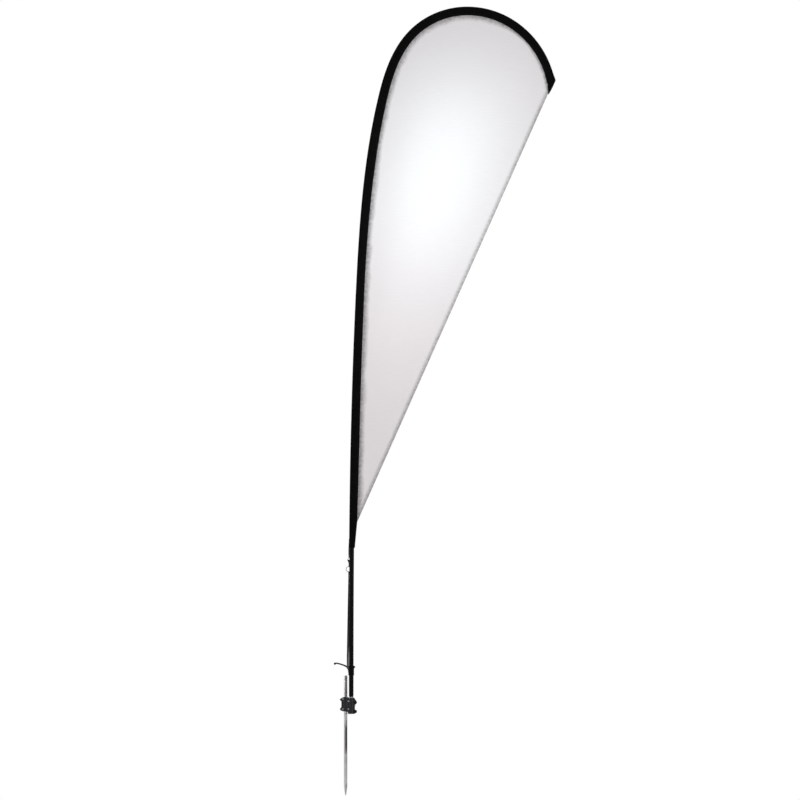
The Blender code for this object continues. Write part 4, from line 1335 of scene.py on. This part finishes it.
class FLAG_OT_spindle(bpy.types.Operator):
    """Build the turning spindle and the flanged bush under the pole's foot"""
    bl_idname = "flag.spindle"
    bl_label = "Spindle and Bushes"

    def execute(self, context):
        top = SPINDLE_BOX[1].z
        profile = eased((
            (0.0042, 0.0159), (0.0050, 0.0167), (0.0050, 0.0420), (0.0068, 0.0420),
            (0.0068, 0.0470), (0.0050, 0.0470), (0.0050, 0.0775), (0.0082, 0.0775),
            (0.0082, 0.0801), (0.0077, 0.0806), (0.0065, 0.0806), (0.0065, top - 0.003),
            (0.0045, top),
        ), 0.0003)
        spindle = turned(profile, 64)
        bmesh.ops.translate(spindle, verts=spindle.verts, vec=(POLE_X, 0.0, 0.0))
        settle(
            place("spindle_shaft", spindle, finish_of("Bright steel")), "spindle", "bright_steel",
            "spindle",
        )
        profile = eased((
            (0.0053, 0.0473), (0.00725, 0.0473), (0.00725, 0.0753), (0.0086, 0.0753),
            (0.0086, 0.0772), (0.0053, 0.0772),
        ), 0.0003, closed=True)
        bush = turned(profile, 64, closed=True)
        bmesh.ops.translate(bush, verts=bush.verts, vec=(POLE_X, 0.0, 0.0))
        settle(
            place("bearing_bush", bush, finish_of("Nylon")), "clamp", "grey_nylon",
            "spindle_upper_bush",
        )
        return {"FINISHED"}


# The clamp

def half_round(centre_x, radius, turn):
    """Outline of a half-round lobe against the split between the jaws, X and Y."""
    start = math.asin(JAW_SPLIT / radius)
    points = []
    for i in range(49):
        angle = start + (math.pi - 2.0 * start) * i / 48
        points.append((centre_x + radius * math.cos(angle), turn * radius * math.sin(angle)))
    return points


def upright(radius, low, high, x, sides=72):
    bm = turned(((radius, low), (radius, high)), sides)
    bmesh.ops.translate(bm, verts=bm.verts, vec=(x, 0.0, 0.0))
    return bm


def crosswise(radius, near, far, x, z, sides=40):
    low, high = sorted((near, far))
    bm = turned(((radius, low), (radius, high)), sides, along="Y")
    bmesh.ops.translate(bm, verts=bm.verts, vec=(x, 0.0, z))
    return bm


def build_jaw(name, turn, settings):
    """One jaw: a waisted flange with two half-round lobes, ribs, bosses and bores."""
    outline = eased([(x * MM, z * MM) for x, z in JAW_OUTLINE], settings.corner, closed=True)
    low, high = sorted((turn * JAW_SPLIT, turn * JAW_FACE))
    jaw = place(name, prism(outline, low, high), finish_of("Clamp plastic"))
    tools = [
        ("UNION", prism(half_round(x, lobe[0], turn), *lobe[1:], "Z"))
        for x, lobe in ((0.0, STAKE_LOBE), (POLE_X, SPINDLE_LOBE))
    ]
    for level in JAW_RIBS:
        low, high = sorted((turn * 0.004, turn * 0.0112))
        tools.append(("UNION", box_of((-0.0164, low, level), (0.0362, high, level + 0.0032))))
    tools.append(("DIFFERENCE", upright(STAKE_BORE, 0.0, 0.1, 0.0)))
    tools.append(("DIFFERENCE", upright(*BUSH_SEAT, 0.1, POLE_X)))
    for _, x, z in BRIGHT_BOLTS + DARK_BOLTS:
        for radius, near in ((BOLT_HOLE_RADIUS, 0.0), (SPOT_FACE_RADIUS, turn * JAW_FACE)):
            tools.append(("DIFFERENCE", crosswise(radius, near, turn * 0.02, x, z)))
    apply_tools(jaw, tools)
    return mould(jaw, settings.fineness, 5)


class FLAG_OT_clamp(bpy.types.Operator):
    """Build the two moulded clamp jaws"""
    bl_idname = "flag.clamp"
    bl_label = "Clamp Jaws"

    def execute(self, context):
        settings = context.scene.flag_clamp
        for name, node, turn in (
            ("clamp_jaw_front", "clamp_front_jaw", -1.0), ("clamp_jaw_rear", "clamp_rear_jaw", 1.0),
        ):
            settle(build_jaw(name, turn, settings), "clamp", "clamp_plastic", node)
        return {"FINISHED"}


def hexagon(width):
    """Radius of a hexagon of that width across its flats, as a function of the angle."""
    def radius(angle):
        turn = (angle + math.pi / 6) % (math.pi / 3) - math.pi / 6
        return width / 2 / math.cos(turn)
    return radius


def knurl(radius, depth, teeth):
    def at(angle):
        return radius - depth * (0.5 + 0.5 * math.cos(angle * teeth))
    return at


def bolt_mesh():
    """Socket-head bolt along Y: knurled head in front, threaded end behind."""
    face = -JAW_FACE - NEIGHBOUR_GAP
    head = face - BOLT_HEAD_HEIGHT
    rim = BOLT_HEAD_RADIUS
    grip = knurl(rim, 0.00016, 24)
    socket = hexagon(0.0040)
    rows = [
        (0.0002, head + 0.0026), (socket, head + 0.0024), (socket, head + 0.0003),
        (0.0026, head), (0.0037, head), (0.0040, head + 0.0001), (rim, head + 0.0005),
        (grip, head + 0.0008), (grip, face - 0.0006), (rim, face - 0.0003), (0.0042, face),
        (0.0024, face),
    ]
    back = JAW_FACE + NEIGHBOUR_GAP + NUT_HEIGHT
    rows.append((0.0024, back - 0.0002))
    for k in range(4):
        rows += [(0.0021, back + 0.0002 + k * 0.0004), (0.0024, back + 0.0004 + k * 0.0004)]
    rows.append((0.0018, back + 0.0018))
    return turned(rows, 96, along="Y")


def nut_mesh():
    """Hexagon nut along Y with turned corners."""
    low = JAW_FACE + NEIGHBOUR_GAP
    high = low + NUT_HEIGHT
    flats = hexagon(0.0084)

    def turned_corner(angle):
        return min(flats(angle), 0.00438)
    rows = [
        (0.0027, low), (turned_corner, low), (flats, low + 0.0004), (flats, high - 0.0004),
        (turned_corner, high), (0.0030, high), (0.0027, high - 0.0004),
    ]
    return turned(rows, 72, closed=True, along="Y")


class FLAG_OT_bolts(bpy.types.Operator):
    """Build the clamp's six bolts and nuts"""
    bl_idname = "flag.bolts"
    bl_label = "Bolts and Nuts"

    def execute(self, context):
        tree = fastener_tree()
        for kind, maker in (("bolt", bolt_mesh), ("nut", nut_mesh)):
            for tone, finish, slot, places in (
                ("bright", "Bolt steel", "plated_steel", BRIGHT_BOLTS),
                ("dark", "Blackened steel", "blackened_steel", DARK_BOLTS),
            ):
                pattern = place(f"{kind}_pattern", maker(), finish_of(finish), 30.0)
                points = [[Vector((x, 0.0, z))] for _, x, z in places]
                piece = grow(f"clamp_{kind}s_{tone}", points, tree, {
                    "Fastener": pattern, "Material": finish_of(finish),
                })
                mesh = pattern.data
                bpy.data.objects.remove(pattern)
                bpy.data.meshes.remove(mesh)
                settle(piece, "clamp", slot, *(f"clamp_{kind}_{label}" for label, _, _ in places))
        return {"FINISHED"}


# The tension hook, rings and strap

def horn_tool():
    points = smooth_line([Vector((x, 0.0, z)) for x, z, _ in HORN_LINE], 8)
    radii = smooth_line([Vector((r, 0.0, 0.0)) for _, _, r in HORN_LINE], 8)
    return wire_round(points, [r.x for r in radii], closed=False, sides=28)


def knob(radius, x, z):
    rows = [
        (max(radius * math.sin(math.pi * i / 20), 0.0001), -radius * math.cos(math.pi * i / 20))
        for i in range(21)
    ]
    bm = turned(rows, 32)
    bmesh.ops.translate(bm, verts=bm.verts, vec=(x, 0.0, z))
    return bm


class FLAG_OT_hook(bpy.types.Operator):
    """Build the moulded tension hook and its set screw"""
    bl_idname = "flag.hook"
    bl_label = "Tension Hook"

    def execute(self, context):
        low, high, bore, outer, screw_z = 0.167, 0.205, 0.00965, 0.0114, 0.181
        profile = eased((
            (outer - 0.0006, low), (outer + 0.0007, low + 0.0008), (outer + 0.0007, low + 0.0044),
            (outer - 0.0001, low + 0.0060), (outer, high - 0.012), (outer + 0.0002, high - 0.002),
            (outer - 0.0008, high), (bore + 0.0002, high),
        ), 0.0009)
        bm = turned(profile, 96)
        bmesh.ops.translate(bm, verts=bm.verts, vec=(POLE_X, 0.0, 0.0))
        hook = place("tension_hook_moulding", bm, finish_of("Moulded black"))
        apply_tools(hook, [
            ("UNION", horn_tool()), ("UNION", knob(*HORN_BALL)), ("UNION", knob(*STUB_BALL)),
            ("UNION", crosswise(0.0046, 0.008, 0.0149, POLE_X, screw_z)),
            ("DIFFERENCE", upright(bore, low - 0.005, high + 0.005, POLE_X, 96)),
            ("DIFFERENCE", crosswise(0.0025, 0.005, 0.020, POLE_X, screw_z)),
        ])
        mould(hook, 0.00042, 6)
        settle(hook, "hook", "moulded_black", "tension_hook")
        socket = hexagon(0.0021)
        rows = [
            (0.0002, 0.0124), (socket, 0.0126), (socket, 0.0141), (0.0014, 0.0143), (0.0019, 0.0143),
            (0.0022, 0.0140), (0.0022, 0.0101), (0.0018, 0.0097),
        ]
        screw = turned(rows, 48, along="Y")
        bmesh.ops.translate(screw, verts=screw.verts, vec=(POLE_X, 0.0, screw_z))
        settle(
            place("set_screw", screw, finish_of("Blackened steel"), 30.0), "hook",
            "blackened_steel", "hook_set_screw",
        )
        return {"FINISHED"}


def triangle_line():
    """Points round the triangle ring, its corners as arcs."""
    corners = [Vector((x, RING_PLANE_Y, z)) for x, z in TRIANGLE_RING]
    radius = 0.0026
    points = []
    for i, corner in enumerate(corners):
        before = (corners[i - 1] - corner).normalized()
        after = (corners[(i + 1) % 3] - corner).normalized()
        half = before.angle(after) / 2
        centre = corner + (before + after).normalized() * radius / math.sin(half)
        first = (corner + before * radius / math.tan(half) - centre).normalized()
        last = (corner + after * radius / math.tan(half) - centre).normalized()
        for k in range(9):
            points.append(centre + first.slerp(last, k / 8) * radius)
    return points


def ribbon(path, width_at, thickness, closed=False, slope_at=None):
    """Flat webbing along a path, wide along X; its width and slope follow the point it is at."""
    count = len(path)
    bm = bmesh.new()
    rings, runs, run = [], [], 0.0
    for i, centre in enumerate(path):
        ahead = path[(i + 1) % count] if closed or i < count - 1 else centre
        behind = path[i - 1] if closed or i > 0 else centre
        forward = (ahead - behind).normalized()
        out = Vector((0.0, forward.z, -forward.y)).normalized()
        half = width_at(centre) / 2
        wide = Vector((1.0, 0.0, -slope_at(centre) if slope_at else 0.0))
        t = thickness / 2
        section = (
            (-half, 0.25), (-half * 0.97, 0.8), (-half * 0.90, 1.0), (-half * 0.4, 1.0),
            (half * 0.4, 1.0), (half * 0.90, 1.0), (half * 0.97, 0.8), (half, 0.25),
            (half, -0.25), (half * 0.97, -0.8), (half * 0.90, -1.0), (half * 0.4, -1.0),
            (-half * 0.4, -1.0), (-half * 0.90, -1.0), (-half * 0.97, -0.8), (-half, -0.25),
        )
        rings.append([bm.verts.new(centre + wide * a + out * t * b) for a, b in section])
        if i:
            run += (centre - path[i - 1]).length
        runs.append(run)
    skin(bm, rings, closed)
    if not closed:
        bm.faces.new(rings[0])
        bm.faces.new(rings[-1])
    cloth = bm.loops.layers.uv.new("Cloth")
    spread = {
        vert: (vert.co.x, along) for ring, along in zip(rings, runs) for vert in ring
    }
    for face in bm.faces:
        for loop in face.loops:
            loop[cloth].uv = spread[loop.vert]
    bmesh.ops.recalc_face_normals(bm, faces=bm.faces)
    return bm


def wrapped(centre, radius, start, end, steps=14):
    """Points round a wire that runs along X, from one angle to another, in degrees."""
    return [
        centre + Vector((0.0, radius * math.cos(a), radius * math.sin(a)))
        for a in (math.radians(start + (end - start) * k / steps) for k in range(steps + 1))
    ]


class FLAG_OT_rings(bpy.types.Operator):
    """Build the wire rings, the sewn tab and the webbing link"""
    bl_idname = "flag.rings"
    bl_label = "Rings and Webbing"

    def execute(self, context):
        steel = finish_of("Ring wire")
        ring = place("ring_triangle", wire_round(triangle_line(), 0.0011), steel)
        settle(ring, "pole", "plated_steel", "triangle_ring")
        x, z, radius, wire = STRAP_RING
        centre = Vector((x, RING_PLANE_Y, z))
        circle = [
            centre + Vector((math.cos(a), 0.0, math.sin(a))) * radius
            for a in (math.tau * i / 64 for i in range(64))
        ]
        ring = place("ring_round", wire_round(circle, wire), steel)
        settle(ring, "pole", "plated_steel", "strap_ring")

        # Link: one loop of webbing from the triangle's bar to the round ring
        thick = 0.0011
        bar = Vector((0.0145, RING_PLANE_Y, TRIANGLE_RING[1][1]))
        top = Vector((0.0150, RING_PLANE_Y, z + radius))
        over, under = 0.0011 + 0.0001 + thick / 2, wire + 0.0001 + thick / 2
        path = wrapped(bar, over, -20.0, 200.0)
        path += [Vector((0.0148, RING_PLANE_Y - thick * 0.55, bar.z - 0.006 - 0.0022 * k)) for k in range(5)]
        path += wrapped(top, under, 160.0, 380.0)
        path += [Vector((0.0148, RING_PLANE_Y + thick * 0.55, bar.z - 0.0148 + 0.0022 * k)) for k in range(5)]

        def link_width(point):
            return 0.0060 + 0.0086 * min(max((point.z - 0.617) / 0.0096, 0.0), 1.0)
        link = ribbon(path, link_width, thick, closed=True)
        link = place("link_webbing", link, finish_of("Webbing"), 60.0)
        settle(link, "pole", "black_webbing", "webbing_link")

        # Tab: folded webbing sewn to the sleeve, with the triangle in its fold
        apex = Vector((0.0145, RING_PLANE_Y, TRIANGLE_RING[0][1] - 0.0030))
        side = thick * 0.55
        path = [Vector((0.0176, RING_PLANE_Y - side, 0.712 - 0.0066 * k)) for k in range(10)]
        path = [p + Vector((-0.0028 * i / 9, 0.0, 0.0)) for i, p in enumerate(path)]
        back = [p + Vector((0.0, 2 * side, 0.0)) for p in reversed(path)]
        path += wrapped(apex, over, 170.0, 370.0) + back

        def tab_width(point):
            return 0.0054 + 0.0034 * min(max((point.z - apex.z) / 0.030, 0.0), 1.0)
        tab = place("tab_webbing", ribbon(path, tab_width, thick), finish_of("Webbing"), 60.0)
        settle(tab, "pole", "black_webbing", "sleeve_tab")

        rows = []
        for level in (bar.z - 0.0075, bar.z - 0.0150):
            rows.append([
                Vector((0.0148 + 0.0026 * k, RING_PLANE_Y - thick * 1.12, level)) for k in (-1, 0, 1)
            ])
        for level in (0.652, 0.658, 0.700, 0.706):
            middle = 0.0148 + (level - 0.652) * 0.046
            for front in (-1, 1):
                rows.append([
                    Vector((middle + 0.0032 * k, RING_PLANE_Y + front * (side + thick * 0.54), level))
                    for k in (-1, 0, 1)
                ])
        thread = stitches("webbing_stitches", rows, 0.0021, 0.00026, finish_of("Sleeve thread"))
        settle(thread, "pole", "black_webbing")
        return {"FINISHED"}


class FLAG_OT_strap(bpy.types.Operator):
    """Build the elastic strap with a sewn loop at each end"""
    bl_idname = "flag.strap"
    bl_label = "Elastic Strap"

    def execute(self, context):
        settings = context.scene.flag_strap
        thick, width = settings.thickness, settings.width
        _, z, radius, wire = STRAP_RING
        ring_low = Vector((STRAP_TOP.x, RING_PLANE_Y, z - radius))
        horn = Vector((STRAP_BOTTOM.x, 0.0, 0.1972))
        ring_reach = wire + 0.0001 + thick / 2
        horn_reach = 0.0046 + thick / 2
        upper_seam = Vector((STRAP_TOP.x, RING_PLANE_Y + thick * 0.55, ring_low.z - settings.loop))
        lower_seam = STRAP_BOTTOM + Vector((0.0, thick * 0.55, settings.loop + 0.006))
        # From the short tail at the top, round the ring, down, round the horn and up again
        def upper(side, steps):
            y = RING_PLANE_Y + side * thick * 0.55
            return [Vector((STRAP_TOP.x, y, upper_seam.z + 0.004 * k)) for k in steps]
        path = upper(-1, range(5)) + wrapped(ring_low, ring_reach, 190.0, -10.0)
        path += upper(1, (4, 2, 0))
        path += [upper_seam.lerp(lower_seam, k / 30) for k in range(1, 30)]
        down = [
            lower_seam, STRAP_BOTTOM + Vector((0.0, 0.0, 0.012)),
            horn + Vector((0.0, horn_reach, 0.003)),
        ]
        path += smooth_line(down, 6)
        path += wrapped(horn, horn_reach, 0.0, -180.0, 18)
        up = [
            horn + Vector((0.0, -horn_reach, 0.003)),
            horn + Vector((0.0002, -horn_reach + 0.0012, 0.012)),
            lower_seam + Vector((0.0, -thick * 1.1, -0.002)),
            lower_seam + Vector((0.0001, -thick * 1.1, 0.012)),
        ]
        path += smooth_line(up, 6)

        def slope(point):
            return 0.75 * min(max((0.245 - point.z) / 0.035, 0.0), 1.0)
        bm = ribbon(path, lambda point: width, thick, slope_at=slope)
        strap = place("elastic_strap", bm, finish_of("Elastic"), 60.0)
        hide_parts("tension_strap")
        rows = []
        for base, front in ((upper_seam, -1), (lower_seam, -1)):
            for step in (0.002, 0.0065):
                level = base + Vector((0.0, front * thick * 1.66, step))
                rows.append([level + Vector((width * 0.36 * k, 0.0, 0.0)) for k in (-1, 0, 1)])
        thread = stitches("strap_stitches", rows, 0.0017, 0.00024, finish_of("Sleeve thread"))
        for piece in (strap, thread):
            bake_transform(piece)
        return {"FINISHED"}


class FLAG_OT_inner(bpy.types.Operator):
    """Finish the parts that stay inside the pole, sleeve and clamp"""
    bl_idname = "flag.inner"
    bl_label = "Inner Parts"

    def execute(self, context):
        finishes = {
            "pole_middle_tube": "Coated pole", "pole_upper_tube": "Coated pole",
            "pole_tip_rod": "Glass fibre", "lower_ferrule": "Moulded black",
            "middle_ferrule": "Moulded black", "pole_tip_cap": "Moulded black",
            "pole_guide_bush": "Moulded black", "spindle_lower_bush": "Nylon",
        }
        for node, finish in finishes.items():
            frame["nodes"][node].data.materials.clear()
            frame["nodes"][node].data.materials.append(finish_of(finish))
        return {"FINISHED"}


# The stage

def soft_light(name, size, power, at, aim, colour=(1.0, 1.0, 1.0), roll=0.0):
    """A rectangular area light that the camera doesn't see."""
    lamp = bpy.data.lights.new(name, "AREA")
    lamp.shape = "RECTANGLE"
    lamp.size, lamp.size_y = size
    lamp.energy = power
    lamp.color = colour
    light = bpy.data.objects.new(name, lamp)
    bpy.context.scene.collection.objects.link(light)
    light.location = at
    turn = (Vector(aim) - Vector(at)).to_track_quat("-Z", "Y")
    light.rotation_euler = (turn @ Quaternion((0.0, 0.0, 1.0), roll)).to_euler()
    light.visible_camera = False
    return light


class FLAG_OT_stage(bpy.types.Operator):
    """Lay the pale floor, hang the soft lights and set the camera"""
    bl_idname = "flag.stage"
    bl_label = "Floor, Lights and Camera"

    def execute(self, context):
        scene = context.scene
        settings = scene.flag_stage
        scene.view_settings.view_transform = "Standard"
        scene.view_settings.look = "None"

        bm = bmesh.new()
        corners = ((-30.0, -30.0), (30.0, -30.0), (30.0, 30.0), (-30.0, 30.0))
        bm.faces.new([bm.verts.new((x, y, STAKE_BOX[0].z - 0.0005)) for x, y in corners])
        floor = place("floor", bm, floor_material("Studio floor", settings.floor))

        world = bpy.data.worlds.new("Studio")
        scene.world = world
        world.use_nodes = True
        board = Board(world.node_tree)
        even = world.node_tree.nodes["Background"]
        even.inputs["Color"].default_value = (1.0, 0.995, 0.998, 1.0)
        even.inputs["Strength"].default_value = settings.sky
        plain = board.add("Background", {"Color": (1.0, 1.0, 1.0, 1.0), "Strength": 1.0})
        rays = board.add("LightPath").outputs
        # Polished things see a dim front and a dark side to the right, which rounds them off
        heading = board.add("SeparateXYZ", {0: board.add("TexCoord").outputs["Generated"]}).outputs[0]
        dark = board.math("MULTIPLY", board.ramp(heading, -0.55, 0.75, 0.1, 0.85), rays["Is Glossy Ray"])
        shown = board.mix(dark, (1.0, 0.995, 0.998), (0.0, 0.0, 0.0))
        board.tree.links.new(shown, even.inputs["Color"])
        either = board.add("MixShader", {
            0: rays["Is Camera Ray"], 1: even.outputs[0], 2: plain.outputs[0],
        })
        out = world.node_tree.nodes["World Output"]
        world.node_tree.links.new(either.outputs[0], out.inputs["Surface"])

        # Two long soft lights follow the middle of the flag; two more do so behind it
        cool = (0.82, 1.0, 1.0)
        places = (("high", 0.384, 2.205, 0.68, 1.0, cool), ("low", 0.235, 1.69, 0.60, 0.28, (1.0, 1.0, 1.0)))
        for name, x, z, length, share, tint in places:
            for face, y, part in (("front", -0.40, 1.0), ("back", 0.40, 0.6)):
                lean = 0.30 if y < 0.0 else -0.30
                soft_light(
                    f"Glow {name} {face}", (0.12, length), settings.glow * share * part, (x, y, z),
                    (x, 0.0, z), tint, -lean,
                )
        soft_light("Key", (0.7, 2.6), 34.0, (-3.6, -0.9, 1.6), (0.1, 0.0, 1.0))
        soft_light("Fill", (0.8, 2.2), 36.0, (2.6, -2.5, 1.4), (0.1, 0.0, 0.6))
        soft_light("Rear", (1.6, 2.6), 46.0, (-1.4, 3.6, 1.8), (0.2, 0.0, 1.4))
        soft_light("Top", (2.4, 2.4), 25.0, (0.2, 0.4, 5.2), (0.2, 0.0, 1.0))

        lens = bpy.data.cameras.new("View")
        lens.type = "ORTHO"
        lens.ortho_scale = settings.view_height
        lens.clip_end = 100.0
        camera = bpy.data.objects.new("View", lens)
        scene.collection.objects.link(camera)
        camera.location = (0.2176, -8.0, 1.268)
        camera.rotation_euler = (math.pi / 2, 0.0, 0.0)
        scene.camera = camera
        return {"FINISHED"}


STEPS = (
    FLAG_OT_stage, FLAG_OT_cloth, FLAG_OT_sleeve, FLAG_OT_pole, FLAG_OT_stake, FLAG_OT_spindle,
    FLAG_OT_clamp, FLAG_OT_bolts, FLAG_OT_hook, FLAG_OT_rings, FLAG_OT_strap, FLAG_OT_inner,
)


class FLAG_PT_panel(bpy.types.Panel):
    """Lists the flag's settings and the steps that build it"""
    bl_idname = "FLAG_PT_panel"
    bl_label = "Teardrop Flag"
    bl_space_type = "VIEW_3D"
    bl_region_type = "UI"
    bl_category = "Teardrop Flag"

    def draw(self, context):
        layout = self.layout
        for step in STEPS:
            layout.operator(step.bl_idname)
        for attribute, group in SETTINGS:
            box = layout.box()
            box.label(text=group.__doc__)
            for name in group.__annotations__:
                box.prop(getattr(context.scene, attribute), name)


def register():
    for attribute, group in SETTINGS:
        bpy.utils.register_class(group)
        setattr(bpy.types.Scene, attribute, PointerProperty(type=group))
    for step in STEPS:
        bpy.utils.register_class(step)
    bpy.utils.register_class(FLAG_PT_panel)


def unregister():
    bpy.utils.unregister_class(FLAG_PT_panel)
    for step in reversed(STEPS):
        bpy.utils.unregister_class(step)
    for attribute, group in reversed(SETTINGS):
        delattr(bpy.types.Scene, attribute)
        bpy.utils.unregister_class(group)


def main():
    for extra in [o for o in bpy.data.objects if o.name in ("Cube", "Light", "Camera")]:
        bpy.data.objects.remove(extra)
    register()
    bpy.ops.flag.stage()
    bpy.ops.flag.cloth()
    bpy.ops.flag.sleeve()
    bpy.ops.flag.pole()
    bpy.ops.flag.stake()
    bpy.ops.flag.spindle()
    bpy.ops.flag.clamp()
    bpy.ops.flag.bolts()
    bpy.ops.flag.hook()
    bpy.ops.flag.rings()
    bpy.ops.flag.strap()
    bpy.ops.flag.inner()


if __name__ == "__main__":
    main()
